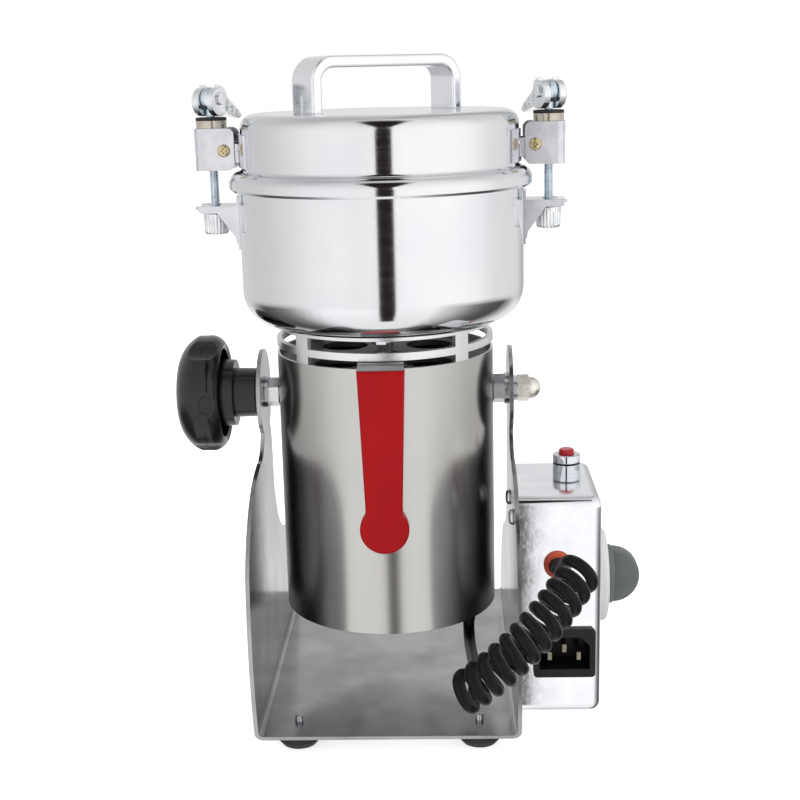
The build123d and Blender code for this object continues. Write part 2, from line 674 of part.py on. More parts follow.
def bowl():
    """The drawn grinding bowl, with a rounded bottom corner and a hub for the seal."""
    inner = BOWL_RADIUS - BOWL_WALL
    low = BOWL_BOTTOM
    floor = low + BOWL_WALL
    flat = BOWL_RADIUS - BOWL_CORNER
    bend = BOWL_CORNER * (1 - 1 / sqrt(2))
    thin = BOWL_CORNER - BOWL_WALL
    thin_bend = thin * (1 - 1 / sqrt(2))
    outline = [
        Line((12.0, low), (flat, low)),
        ThreePointArc((flat, low), (BOWL_RADIUS - bend, low + bend), (BOWL_RADIUS, low + BOWL_CORNER)),
        Line((BOWL_RADIUS, low + BOWL_CORNER), (BOWL_RADIUS, BOWL_TOP)),
        Line((BOWL_RADIUS, BOWL_TOP), (inner, BOWL_TOP)),
        Line((inner, BOWL_TOP), (inner, low + BOWL_CORNER)),
        ThreePointArc((inner, low + BOWL_CORNER), (inner - thin_bend, floor + thin_bend), (flat, floor)),
        Line((flat, floor), (12.0, floor)),
        Line((12.0, floor), (12.0, low)),
    ]
    shell = revolve(Plane.XZ * make_face(outline), Axis.Z)
    for x, y in bowl_bolt_places():
        shell -= Pos(x, y, 0) * cylinder(HEX_SCREW_RADIUS + LOOSE_GAP, low - 1, floor + 1)
    return shell


def shaft_seal():
    """The turned seal housing in the bowl's floor, round the shaft."""
    outline = [
        (SHAFT_RADIUS + RUNNING_GAP, BOWL_BOTTOM - 3.0),
        (12.0, BOWL_BOTTOM - 3.0),
        (12.0, BOWL_BOTTOM + BOWL_WALL),
        (15.0, BOWL_BOTTOM + BOWL_WALL),
        (14.0, BOWL_BOTTOM + BOWL_WALL + 2.5),
        (9.0, BOWL_BOTTOM + BOWL_WALL + 6.0),
        (SHAFT_RADIUS + RUNNING_GAP, BOWL_BOTTOM + BOWL_WALL + 6.0),
    ]
    return turned(outline)


def hex_screws():
    """Hex-head screws: four up through the ring's flange into the bowl, two down into the handle."""
    grip = RING_FLANGE + BOWL_WALL
    up = hexagon(HEX_SCREW_AF, HEX_SCREW_HEAD) + cylinder(HEX_SCREW_RADIUS, 1, HEX_SCREW_HEAD + grip + 0.2)
    low = BOWL_BOTTOM - RING_FLANGE - HEX_SCREW_HEAD
    screws = [Pos(x, y, low) * up for x, y in bowl_bolt_places()]
    lid_low = LID_TOP - LID_WALL - HEX_SCREW_HEAD
    into = hexagon(HEX_SCREW_AF, HEX_SCREW_HEAD)
    into += cylinder(HEX_SCREW_RADIUS, 1, HEX_SCREW_HEAD + LID_WALL + 8)
    return screws + [Pos(x, y, lid_low) * into for x, y in handle_feet()]


def handle_feet():
    """Centres of the handle's two legs on the lid."""
    half = HANDLE_SPAN / 2 - HANDLE_STRAP / 2
    turn = radians(HANDLE_TURN)
    return [(side * half * cos(turn), side * half * sin(turn)) for side in (-1, 1)]


def lid():
    """The drawn lid: flat top, soft corner, side wall and a stepped rim that drops over the bowl."""
    side = LID_RADIUS
    inner = LID_RADIUS - LID_WALL
    corner_in = LID_CORNER - LID_WALL
    bend = LID_CORNER * (1 - 1 / sqrt(2))
    bend_in = corner_in * (1 - 1 / sqrt(2))
    skirt = BOWL_RADIUS + FREE_GAP
    shoulder = RIM_TOP - 0.2
    top_z = LID_TOP - LID_WALL
    flat = LID_RADIUS - LID_CORNER
    outline = [
        Line((0, LID_TOP), (flat, LID_TOP)),
        ThreePointArc((flat, LID_TOP), (side - bend, LID_TOP - bend), (side, LID_TOP - LID_CORNER)),
        Line((side, LID_TOP - LID_CORNER), (side, RIM_TOP + 2.0)),
        ThreePointArc((side, RIM_TOP + 2.0), (side + 0.6, RIM_TOP + 0.5), (side + 2.2, shoulder)),
        ThreePointArc((side + 2.2, shoulder), (RIM_RADIUS - 1.1, RIM_TOP - 2.4), (RIM_RADIUS, RIM_TOP - 5.6)),
        Line((RIM_RADIUS, RIM_TOP - 5.6), (RIM_RADIUS, RIM_BOTTOM + 1.2)),
        Line((RIM_RADIUS, RIM_BOTTOM + 1.2), (RIM_RADIUS - 0.8, RIM_BOTTOM)),
        Line((RIM_RADIUS - 0.8, RIM_BOTTOM), (skirt, RIM_BOTTOM)),
        Line((skirt, RIM_BOTTOM), (skirt, BOWL_TOP + SEAL_HEIGHT)),
        Line((skirt, BOWL_TOP + SEAL_HEIGHT), (inner, BOWL_TOP + SEAL_HEIGHT)),
        Line((inner, BOWL_TOP + SEAL_HEIGHT), (inner, LID_TOP - LID_CORNER)),
        ThreePointArc((inner, LID_TOP - LID_CORNER), (inner - bend_in, top_z - bend_in), (flat, top_z)),
        Line((flat, top_z), (0, top_z)),
        Line((0, top_z), (0, LID_TOP)),
    ]
    cover = revolve(Plane.XZ * make_face(outline), Axis.Z)
    for x, y in handle_feet():
        cover -= Pos(x, y, 0) * cylinder(HEX_SCREW_RADIUS + LOOSE_GAP, top_z - 1, LID_TOP + 1)
    return cover


def lid_seal():
    """The silicone ring between the bowl's edge and the lid's step."""
    return tube(BOWL_RADIUS, LID_RADIUS - LID_WALL, BOWL_TOP, BOWL_TOP + SEAL_HEIGHT)


def lid_handle():
    """The bent chrome strap on the lid, turned out of the machine's own axes."""
    half = HANDLE_SPAN / 2 - HANDLE_STRAP / 2
    top = HANDLE_RISE - HANDLE_STRAP / 2
    middle_bend = HANDLE_BEND - HANDLE_STRAP / 2
    bend = FilletPolyline((-half, 0), (-half, top), (half, top), (half, 0), radius=middle_bend)
    strap = extrude(Plane.XZ * trace(bend, HANDLE_STRAP), HANDLE_WIDTH / 2, both=True)
    rims = strap.faces().filter_by(Axis.Y).edges().filter_by(lambda e: e.center().Z > 0.5)
    strap = fillet(rims, 1.4)
    strap = Pos(0, 0, LID_TOP) * Rot(0, 0, HANDLE_TURN) * strap
    for x, y in handle_feet():
        strap -= Pos(x, y, 0) * cylinder(HEX_SCREW_RADIUS, LID_TOP - 1, LID_TOP + 8.2)
    return strap


def grip_strap():
    """The steel strap that comes out of the ring's front slot and carries the grip."""
    face = -CAN_RADIUS - GRIP_GAP
    top = CAN_TOP + RING_SLOT - 1.9
    middle = face - GRIP_THICK / 2
    wide = STRAP_WIDTH / 2
    tab = block(-wide, wide, middle - STRAP / 2, -CAN_RADIUS + 6.5, top, top + STRAP)
    blade = block(-wide, wide, middle - STRAP / 2, middle + STRAP / 2, CAN_TOP - 8.0, top + STRAP)
    half = GRIP_WAIST / 2 - 2.5
    blade += block(-half, half, middle - STRAP / 2, middle + STRAP / 2, GRIP_DISC_Z, CAN_TOP - 7.0)
    strap = tab + blade
    edges = strap.edges().filter_by(Axis.X).filter_by(lambda e: e.center().Z > top + STRAP - 0.1)
    return fillet(edges.sort_by(Axis.Y)[0], STRAP * 0.9)


def grip_sleeve():
    """The red moulded grip: a flat bar narrowing to a round end, closed round the strap."""
    face = -CAN_RADIUS - GRIP_GAP
    top = CAN_TOP + 0.2
    waist_z = GRIP_DISC_Z + 12.0
    waist = GRIP_WAIST / 2
    wide = GRIP_WIDTH / 2
    bar = make_face(
        Polyline(
            (-wide, top),
            (wide, top),
            (waist, waist_z),
            (waist, GRIP_DISC_Z),
            (-waist, GRIP_DISC_Z),
            (-waist, waist_z),
            close=True,
        )
    )
    plane = Plane((0, face, 0), x_dir=(1, 0, 0), z_dir=(0, -1, 0))
    sleeve = extrude(plane * (bar + Pos(0, GRIP_DISC_Z) * Circle(GRIP_DISC)), GRIP_THICK)
    sleeve = fillet(sleeve.edges().group_by(Axis.Y)[0], 1.6)
    return sleeve - grip_strap()


def motor_plates():
    """The motor's two end plates: spoked discs that carry the bearings and fit inside the can."""
    radius = CAN_RADIUS - CAN_WALL - LOOSE_GAP
    disc = cylinder(radius, 0, PLATE) + cylinder(BEARING_RADIUS + 3, 0, BEARING_WIDTH + 2)
    for step in range(4):
        disc -= Rot(0, 0, 90 * step + 45) * Pos(31.0, 0, -1) * cylinder(12.0, 0, PLATE + 2)
    disc -= cylinder(BEARING_RADIUS, 2, BEARING_WIDTH + 3) + cylinder(SHAFT_RADIUS + 3, -1, 3)
    lower = Pos(0, 0, LOWER_BEARING_Z - 2) * disc
    upper = Pos(0, 0, UPPER_BEARING_Z + BEARING_WIDTH + 2) * Rot(180, 0, 0) * disc
    lower -= Pos(GLAND_X, GLAND_Y, 0) * cylinder(GLAND_RADIUS, LOWER_BEARING_Z - 3, LOWER_BEARING_Z + PLATE)
    return [lower, upper]


def motor_bearings():
    """Two ball bearings, drawn as closed rings."""
    ring = tube(BEARING_RADIUS, SHAFT_RADIUS + RUNNING_GAP, 0, BEARING_WIDTH)
    groove = tube(8.6, 6.4, BEARING_WIDTH - 0.6, BEARING_WIDTH + 1)
    ring -= groove
    return [Pos(0, 0, LOWER_BEARING_Z) * ring, Pos(0, 0, UPPER_BEARING_Z) * ring]


def motor_stator():
    """The laminated field stack with two pole gaps, clamped between the plates' long bolts."""
    high = STATOR_LOW + STATOR_STACK
    stack = tube(STATOR_RADIUS, STATOR_BORE, STATOR_LOW, high)
    for side in (-1, 1):
        stack -= Pos(0, side * 27.0, STATOR_LOW - 1) * extrude(SlotOverall(34.0, 13.0), STATOR_STACK + 2)
    flange = CAN_RADIUS - CAN_WALL
    lugs = block(-flange + 2.5, flange - 2.5, -6, 6, STATOR_LOW + 4, high - 4)
    lugs -= cylinder(STATOR_RADIUS - 1, STATOR_LOW, high)
    return stack + (lugs & cylinder(flange - LOOSE_GAP, STATOR_LOW, high))


def carbon_brushes():
    """Two brushes in their holders, either side of the commutator."""
    middle = COMMUTATOR_Z + COMMUTATOR_LENGTH / 2
    start = COMMUTATOR_RADIUS + FREE_GAP
    brush = block(start, start + 16.0, -3.0, 3.0, middle - 4.0, middle + 4.0)
    seat = block(start + 8.0, start + 17.5, -5.0, 5.0, LOWER_BEARING_Z - 2 + PLATE, middle + 6.0)
    return [brush + seat, Rot(0, 0, 180) * (brush + seat)]


def motor_shaft():
    """The shaft, from under the lower bearing to the blade nut."""
    low = LOWER_BEARING_Z - 0.5
    high = UPPER_BLADE_Z + BLADE + 8.0
    return cylinder(SHAFT_RADIUS, low, high)


def rotor_core():
    """The wound core: a slotted cylinder, with winding ends at both sides."""
    radius = STATOR_BORE - AIR_GAP
    high = STATOR_LOW + STATOR_STACK
    core = cylinder(radius, STATOR_LOW, high)
    slot = block(radius - 4.5, radius + 1, -1.1, 1.1, STATOR_LOW - 1, high + 1)
    for step in range(ROTOR_SLOTS):
        core -= Rot(0, 0, 360 / ROTOR_SLOTS * step) * slot
    core += cylinder(radius - 5.5, STATOR_LOW - 7, high + 7)
    return core - cylinder(SHAFT_RADIUS, CAN_BOTTOM, LID_TOP)


def commutator():
    """The copper commutator under the core."""
    return tube(COMMUTATOR_RADIUS, SHAFT_RADIUS, COMMUTATOR_Z, COMMUTATOR_Z + COMMUTATOR_LENGTH)


def cooling_fan():
    """The fan above the core, which blows out through the ring's slots."""
    hub = cylinder(10.0, FAN_Z, FAN_Z + FAN_HEIGHT)
    fan = hub + cylinder(FAN_RADIUS, FAN_Z, FAN_Z + 2.0)
    for step in range(FAN_BLADES):
        vane = block(9.0, FAN_RADIUS, -0.9, 0.9, FAN_Z + 1, FAN_Z + FAN_HEIGHT)
        fan += Rot(0, 0, 360 / FAN_BLADES * step) * vane
    return fan - cylinder(SHAFT_RADIUS, CAN_BOTTOM, LID_TOP)


def blade(height, tip_turn, turn):
    """A two-armed blade with swept cutting edges and tips bent up or down."""
    half = BLADE_LENGTH / 2
    wide = BLADE_WIDTH / 2
    outline = make_face(
        Polyline(
            (-half, -wide * 0.2),
            (-wide, -wide),
            (wide, -wide),
            (half - 6.0, -wide * 0.55),
            (half, wide * 0.2),
            (wide, wide),
            (-wide, wide),
            (-half + 6.0, wide * 0.55),
            close=True,
        )
    )
    flat = extrude(outline, BLADE)
    knife = flat & block(-half + BLADE_TIP, half - BLADE_TIP, -wide, wide, 0, BLADE)
    for side in (0, 180):
        tip = flat & block(half - BLADE_TIP, half, -wide, wide, 0, BLADE)
        hinge = half - BLADE_TIP
        bent = Pos(hinge, 0, BLADE / 2) * Rot(0, -tip_turn, 0) * Pos(-hinge, 0, -BLADE / 2) * tip
        knuckle = Pos(hinge, 0, BLADE / 2) * Rot(90, 0, 0) * Cylinder(BLADE / 2, BLADE_WIDTH)
        knife += Rot(0, 0, side) * (bent + (knuckle & block(0, half, -wide * 0.62, wide * 0.62, 0, BLADE)))
    knife -= cylinder(SHAFT_RADIUS, -1, BLADE + 1)
    return Pos(0, 0, height) * Rot(0, 0, turn) * knife


def blade_spacers():
    """The sleeves under and between the blades."""
    low = BOWL_BOTTOM + BOWL_WALL + 6.0 + FREE_GAP
    return [
        tube(HUB_RADIUS, SHAFT_RADIUS, low, LOWER_BLADE_Z),
        tube(HUB_RADIUS, SHAFT_RADIUS, LOWER_BLADE_Z + BLADE, UPPER_BLADE_Z),
    ]


def blade_nut():
    """The nut on the shaft's end, over a plain washer face."""
    low = UPPER_BLADE_Z + BLADE
    nut = cylinder(HUB_RADIUS, low, low + 1.5) + Pos(0, 0, low + 1.4) * hexagon(HEX_AF, 5.6)
    return nut - cylinder(SHAFT_RADIUS, low - 1, low + 9)


def fork_bracket():
    """The left fork on the bowl: a slotted shelf with a flared mouth, two gussets and a back plate."""
    shelf_low = FORK_TOP - FORK_PLATE
    tip = LATCH_PIVOT_X + FORK_TIP
    mouth = LATCH_PIVOT_X + FORK_MOUTH
    wall = BOWL_RADIUS
    shelf = make_face(
        Polyline(
            (-wall + 3.0, -FORK_HALF),
            (-tip + 1.5, -FORK_HALF),
            (-tip, -FORK_HALF + 1.2),
            (-mouth - 0.6, -NUT_RADIUS - 0.3),
            (-mouth, -NUT_RADIUS),
            (-mouth + 1.5, -FORK_SLOT),
            (-LATCH_ROD_X + LATCH_ROD_RADIUS + 0.4, -FORK_SLOT),
            (-LATCH_ROD_X + LATCH_ROD_RADIUS + 0.4, FORK_SLOT),
            (-mouth + 1.5, FORK_SLOT),
            (-mouth, NUT_RADIUS),
            (-mouth - 0.6, NUT_RADIUS + 0.3),
            (-tip, FORK_HALF - 1.2),
            (-tip + 1.5, FORK_HALF),
            (-wall + 3.0, FORK_HALF),
            close=True,
        )
    )
    bracket = Pos(0, 0, shelf_low) * extrude(shelf, FORK_PLATE)
    gusset = make_face(
        Polyline(
            (-wall + 3.0, FORK_TOP),
            (-tip + 1.5, FORK_TOP),
            (-tip + 1.5, shelf_low - FORK_LIP + 0.6),
            (-tip + 3.0, shelf_low - FORK_LIP),
            (-LATCH_ROD_X + 2.0, shelf_low - FORK_LIP),
            (-wall - 1.6, FORK_ROOT + 3.0),
            (-wall - 1.2, FORK_ROOT),
            (-wall + 3.0, FORK_ROOT),
            close=True,
        )
    )
    for side in (-1, 1):
        plate = extrude(Plane.XZ * gusset, EAR / 2, both=True)
        bracket += Pos(0, side * (FORK_HALF - EAR / 2), 0) * plate
    back = tube(wall + HINGE_PLATE, wall - 1, FORK_ROOT - 3.0, FORK_TOP + 4.5)
    bracket += back & block(-wall - 5, -wall + 8, -FORK_HALF, FORK_HALF, 0, LID_TOP)
    return bracket - cylinder(wall, 0, LID_TOP)


def hinge_plate():
    """The left hinge plate: a curved saddle on the lid's side, with two ears for the screw."""
    wall = LID_RADIUS
    outer = wall + HINGE_PLATE
    saddle = tube(outer, wall, HINGE_LOW, HINGE_HIGH)
    saddle &= block(-outer - 1, 0, -HINGE_WING, HINGE_WING, 0, LID_TOP)
    window = BLOCK_HALF + 1.0
    saddle -= block(-outer - 1, 0, -window, window, LATCH_PIVOT_Z + 1.0, HINGE_HIGH + 1)
    ear_out = BLOCK_HALF - BLOCK_WALL - EAR_GAP
    profile = make_face(
        Polyline(
            (-LATCH_PIVOT_X - 4.5, LATCH_PIVOT_Z - 4.0),
            (-LATCH_PIVOT_X - 2.5, LATCH_PIVOT_Z - 6.0),
            (-wall + 4.0, LATCH_PIVOT_Z - 6.0),
            (-wall + 4.0, LATCH_PIVOT_Z + 2.0),
            (-LATCH_PIVOT_X + 3.5, LATCH_PIVOT_Z + 3.5),
            (-LATCH_PIVOT_X + 1.5, LATCH_PIVOT_Z + 4.5),
            (-LATCH_PIVOT_X - 2.5, LATCH_PIVOT_Z + 4.5),
            (-LATCH_PIVOT_X - 4.5, LATCH_PIVOT_Z + 2.5),
            close=True,
        )
    )
    for side in (-1, 1):
        ear = extrude(Plane.XZ * profile, EAR / 2, both=True)
        saddle += Pos(0, side * (ear_out - EAR / 2), 0) * ear
    saddle -= cylinder(wall, 0, LID_TOP)
    return saddle - y_rod(LATCH_SCREW, -LATCH_PIVOT_X, LATCH_PIVOT_Z, -20, 20)


def latch_screw():
    """The screw that the left latch swings on."""
    shank = y_rod(LATCH_SCREW, -LATCH_PIVOT_X, LATCH_PIVOT_Z, -BLOCK_HALF - 0.5, BLOCK_HALF + 1.5)
    head = y_rod(3.1, -LATCH_PIVOT_X, LATCH_PIVOT_Z, -BLOCK_HALF - LOOSE_GAP - 1.6, -BLOCK_HALF - LOOSE_GAP)
    head = fillet(head.edges().group_by(Axis.Y)[0], 0.9)
    tail = y_rod(3.0, -LATCH_PIVOT_X, LATCH_PIVOT_Z, BLOCK_HALF + LOOSE_GAP, BLOCK_HALF + LOOSE_GAP + 1.8)
    return head + shank + tail


def latch_block():
    """The left latch's bent cover, open towards the lid, with holes for the screw and the rod."""
    outer = block(-BLOCK_OUT, -BLOCK_IN, -BLOCK_HALF, BLOCK_HALF, BLOCK_BOTTOM, BLOCK_TOP)
    far = outer.edges().filter_by(Axis.Z).filter_by(lambda e: e.center().X < -BLOCK_OUT + 1)
    outer = fillet(far, 3.5)
    near = outer.edges().filter_by(Axis.Y).filter_by(lambda e: e.center().X > -BLOCK_IN - 1)
    outer = fillet(near, 3.3)
    inner = block(
        -BLOCK_OUT + BLOCK_WALL,
        -BLOCK_IN + 1,
        -BLOCK_HALF + BLOCK_WALL,
        BLOCK_HALF - BLOCK_WALL,
        BLOCK_BOTTOM + BLOCK_WALL,
        BLOCK_TOP - BLOCK_WALL,
    )
    shell = outer - inner
    throat = BLOCK_HALF - BLOCK_WALL
    shell -= block(-BLOCK_IN - 4.5, -BLOCK_IN + 1, -throat, throat, BLOCK_BOTTOM - 1, BLOCK_TOP + 1)
    shell -= y_rod(LATCH_SCREW + RUNNING_GAP, -LATCH_PIVOT_X, LATCH_PIVOT_Z, -20, 20)
    return shell - Pos(-LATCH_ROD_X, 0, 0) * cylinder(LATCH_ROD_RADIUS + RUNNING_GAP, 0, EYE_Z)


def cam_washers():
    """The nickel collar and the rubber buffer that the cam bears on."""
    bore = LATCH_ROD_RADIUS + RUNNING_GAP
    collar = tube(COLLAR_OUT, bore, BLOCK_TOP, BLOCK_TOP + COLLAR_HEIGHT)
    collar = fillet(collar.edges().group_by(Axis.Z)[-1].sort_by(SortBy.LENGTH)[-1], 0.5)
    seat = BLOCK_TOP + COLLAR_HEIGHT
    buffer = tube(COLLAR_OUT - 1.4, bore, seat, seat + BUFFER_HEIGHT)
    return [Pos(-LATCH_ROD_X, 0, 0) * collar, Pos(-LATCH_ROD_X, 0, 0) * buffer]


def cam_placed(shape):
    """Moves a lever part, drawn with its pin along Y at the origin, to the left latch's eye."""
    return Pos(-LATCH_ROD_X, 0, EYE_Z) * Rot(0, 0, LEVER_TURN) * shape


def eye_rod():
    """The left latch's threaded rod with the eye that the cam pin goes through."""
    eye = Rot(90, 0, 0) * Cylinder(EYE_RADIUS, EYE_THICK)
    eye -= Rot(90, 0, 0) * Cylinder(LEVER_PIN + RUNNING_GAP, EYE_THICK + 2)
    shank = cylinder(LATCH_ROD_RADIUS, nut_top() - NUT_HEIGHT + 1.0, EYE_Z - EYE_RADIUS + 1.0)
    return Pos(-LATCH_ROD_X, 0, 0) * shank + cam_placed(eye)


def nut_top():
    """The cup nut's highest point, far enough under the shelf for the latch to swing clear."""
    return FORK_TOP - FORK_PLATE - NUT_DROP


def cup_nut():
    """The left latch's fluted cup nut, with a domed seat."""
    top = nut_top()
    outline = [
        (LATCH_ROD_RADIUS, top - NUT_HEIGHT),
        (NUT_RADIUS - 0.8, top - NUT_HEIGHT),
        (NUT_RADIUS - 0.2, top - NUT_HEIGHT + 0.8),
        (NUT_RADIUS, top - NUT_DOME),
        (LATCH_ROD_RADIUS + 0.9, top),
        (LATCH_ROD_RADIUS, top),
    ]
    return Pos(-LATCH_ROD_X, 0, 0) * turned(outline)


def cam_lever():
    """The left cam lever: two cam cheeks either side of the eye and a pierced, tapering tail."""
    slope = radians(LEVER_SLOPE)
    reach = LEVER_LENGTH / cos(slope)
    inner = EYE_THICK / 2 + 0.2
    outer = inner + LEVER_CHEEK
    cheeks = Pos(0, 0, -LEVER_THROW) * Rot(90, 0, 0) * Cylinder(LEVER_CAM, 2 * outer)
    tail = make_face(
        Polyline(
            (-2.0, 6.2),
            (8.0, 5.2),
            (reach - 3.0, 2.2),
            (reach, 0.4),
            (reach - 2.0, -1.6),
            (10.0, -3.2),
            (0, -2.5),
            close=True,
        )
    )
    tail = Rot(0, LEVER_SLOPE, 0) * extrude(Plane.XZ * tail, outer, both=True)
    taper = make_face(
        Polyline(
            (-9, -outer),
            (4, -outer),
            (12, -2.0),
            (reach, -1.2),
            (reach, 1.2),
            (12, 2.0),
            (4, outer),
            (-9, outer),
            close=True,
        )
    )
    plan = Pos(0, 0, -30) * extrude(taper, 60)
    lever = (cheeks + tail) & plan
    lever -= block(-12, EYE_RADIUS + 1.0, -inner, inner, -20, 20)
    for distance, radius in LEVER_HOLES:
        hole = Rot(90, 0, 0) * Cylinder(radius, 20)
        lever -= Rot(0, LEVER_SLOPE, 0) * Pos(distance, 0, 0.6) * hole
    lever -= Rot(90, 0, 0) * Cylinder(LEVER_PIN, 20)
    return cam_placed(lever)


def cam_pin():
    """The left cam pin with its two rounded heads."""
    outer = EYE_THICK / 2 + 0.2 + LEVER_CHEEK
    pin = Rot(90, 0, 0) * Cylinder(LEVER_PIN, 2 * outer + 0.4)
    for side in (-1, 1):
        head = Pos(0, side * (outer + 0.6), 0) * Rot(90, 0, 0) * Cylinder(3.0, 1.2)
        pin += head
    return cam_placed(pin)


def curl_point(share):
    """A point on the curled cord's centre line, for a share from 0 to 1 of the guide's length."""
    guide = Bezier(*CURL_GUIDE)
    axis = guide % share
    across = (Vector(1, 0, 0) - axis * axis.X).normalized()
    upward = axis.cross(across)
    angle = radians(180 - 360 * CURL_TURNS * share)
    return guide @ share + (across * cos(angle) + upward * sin(angle)) * CURL_RADIUS


def curl_heading(share):
    """The unit direction of the curled cord's centre line."""
    step = 1e-4
    low = max(0.0, share - step)
    high = min(1.0, share + step)
    return (curl_point(high) - curl_point(low)).normalized()


def biarc(start, start_heading, end, end_heading):
    """Two arcs that join two points with given directions, meeting smoothly between them."""
    chord = end - start
    both = start_heading + end_heading
    spread = 2 * (1 - start_heading.dot(end_heading))
    reach = chord.dot(both)
    if spread < 1e-9:
        length = chord.dot(chord) / (4 * chord.dot(end_heading))
    else:
        length = (-reach + sqrt(reach**2 + spread * chord.dot(chord))) / spread
    middle = (start + start_heading * length + end - end_heading * length) / 2
    first = TangentArc(start, middle, tangent=start_heading)
    second = TangentArc(middle, end, tangent=first % 1)
    return [first, second]


def swept_tube(edges):
    """A round tube of the cord's own thickness along joined edges."""
    path = Wire(edges)
    section = Plane(path @ 0, z_dir=path % 0) * Circle(CORD_RADIUS)
    tube_solid = sweep(section, path=path)
    share = tube_solid.volume / (pi * CORD_RADIUS**2 * path.length)
    print("cord tube: length", round(path.length, 1), "volume against section times length", round(share, 4))
    return tube_solid


def curl_stations():
    """Shares of the curl at which its arcs meet, about every half turn."""
    count = ceil(CURL_TURNS * 2)
    return [index / count for index in range(count + 1)]


def curly_cord():
    """The curled cord, one unbroken tube from the grommet to the start of the plain lead."""
    exit_point = Vector(GROMMET_X, -BOX_FRONT - GROMMET_PROUD + 2.0, GROMMET_Z)
    exit_heading = Vector(0, -1, 0)
    straight = exit_point + exit_heading * (2 * CORD_RADIUS + 2.0)
    stations = curl_stations()
    edges = [Line(exit_point, straight)]
    first = stations[1]
    edges += biarc(straight, exit_heading, curl_point(first), curl_heading(first))
    for low, high in zip(stations[1:-1], stations[2:]):
        edges += biarc(curl_point(low), curl_heading(low), curl_point(high), curl_heading(high))
    tail = curl_point(1.0)
    edges.append(Line(tail, tail + curl_heading(1.0) * 2 * CORD_RADIUS))
    report_curl_gap()
    return swept_tube(edges)


def report_curl_gap():
    """Prints the least gap between the curls, measured on points along the centre line."""
    count = int(CURL_TURNS * 60)
    points = [curl_point(index / count) for index in range(count + 1)]
    least = min(
        (points[i] - points[j]).length
        for i in range(0, count, 3)
        for j in range(i + 30, min(i + 150, count + 1))
    )
    print("curls: least gap to itself", round(least - 2 * CORD_RADIUS, 2), "mm")


def motor_lead():
    """The plain lead from the curls to the gland in the can's base: straight runs and tangent arcs."""
    start = curl_point(1.0) + curl_heading(1.0) * 2 * CORD_RADIUS
    first = start + curl_heading(1.0) * 5.0
    end = Vector(GLAND_X, GLAND_Y, CAN_BOTTOM + 1.0 - GLAND_DROP + 1.5)
    points = [start, first] + [Vector(*p) for p in LEAD_ROUTE] + [end]
    radii = []
    for before, here, after in zip(points, points[1:], points[2:]):
        turn = radians((here - before).get_angle(after - here))
        shorter = min((here - before).length, (after - here).length)
        radii.append(0.45 * shorter / tan(turn / 2))
    print("lead: radii", [round(radius, 1) for radius in radii])
    return swept_tube(FilletPolyline(*points, radius=radii).edges())


def both_sides(shape):
    """A left-hand piece and its mirror image."""
    return [shape, mirror(shape, Plane.YZ)]


def save(name, pieces):
    """Keeps a node's solids, each given in the machine's own axes."""
    if not isinstance(pieces, list):
        pieces = [pieces]
    parts[name] = [solid for piece in pieces for solid in piece.solids()]


save("stand_bracket", stand_bracket())
save("rubber_feet", rubber_feet())
save("stand_screws", stand_screws())
save("switch_box", switch_box())
save("power_inlet", power_inlet())
save("inlet_pins", pin_blades())
save("cord_grommet", cord_grommet())
save("timer_unit", timer_unit())
save("timer_dial", timer_dial())
save("timer_knob", timer_knob())
save("timer_shaft", timer_shaft())
save("reset_switch", reset_switch())
save("reset_button", reset_button())
save("pivot_bolts", pivot_bolts())
save("pivot_nuts", pivot_nuts())
save("pivot_washers", pivot_washers())
save("acorn_nut", acorn_nut())
save("hand_wheel", hand_wheel())
save("clamp_washer", clamp_washer())
save("motor_can", motor_can())
save("can_base", can_base())
save("lead_gland", lead_gland())
save("vent_ring", vent_ring())
save("bowl", bowl())
save("shaft_seal", shaft_seal())
save("hex_screws", hex_screws())
save("lid", lid())
save("lid_seal", lid_seal())
save("lid_handle", lid_handle())
save("grip_strap", grip_strap())
save("grip_sleeve", grip_sleeve())
save("motor_plates", motor_plates())
save("motor_bearings", motor_bearings())
save("motor_stator", motor_stator())
save("carbon_brushes", carbon_brushes())
save("motor_shaft", motor_shaft())
save("rotor_core", rotor_core())
save("commutator", commutator())
save("cooling_fan", cooling_fan())
save("lower_blade", blade(LOWER_BLADE_Z, -20.0, 25.0))
save("upper_blade", blade(UPPER_BLADE_Z, 25.0, 115.0))
save("blade_spacers", blade_spacers())
save("blade_nut", blade_nut())
save("fork_brackets", both_sides(fork_bracket()))
save("hinge_plates", both_sides(hinge_plate()))
save("latch_screws", both_sides(latch_screw()))
save("curly_cord", curly_cord())
save("motor_lead", motor_lead())

latch_pieces = {
    "latch_block": [latch_block()],
    "cam_washers": cam_washers(),
    "eye_rod": [eye_rod()],
    "cup_nut": [cup_nut()],
    "cam_lever": [cam_lever()],
    "cam_pin": [cam_pin()],
}
for name, pieces in latch_pieces.items():
    save("left_" + name, pieces)
    save("right_" + name, [mirror(piece, Plane.YZ) for piece in pieces])

# The footprint's middle, between the wheel and the knob and between the arms' front and the base's rear
knob_end = BOX_RIGHT + DIAL + FREE_GAP + KNOB_LENGTH
wheel_end = wheel_face() + WHEEL_REACH
shift = Pos((wheel_end - knob_end) / 2, (ARM_FRONT - BASE_REAR) / 2, 0)
for name, solids in parts.items():
    placed = [shift * solid for solid in solids]
    shape = placed[0] if len(placed) == 1 else Compound(children=placed)
    export_step(shape, f"parts/{name}.step")
print("nodes", len(parts), "shift", shift.position)
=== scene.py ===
"""Looks of the tilting grain mill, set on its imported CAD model.

The light is a white tent with a dark slit in front, as polished steel is photographed. Each
sub-assembly is a class that keeps its sizes, builds the pieces that the CAD leaves plain and
dresses the rest. Sizes are millimetres on the machine's own upright axis, as in the CAD source.
"""

import logging
import math
from collections.abc import Callable, Sequence
from dataclasses import dataclass, field
from enum import Enum

import bmesh
import bpy
from mathutils import Matrix, Vector
from mathutils.geometry import interpolate_bezier


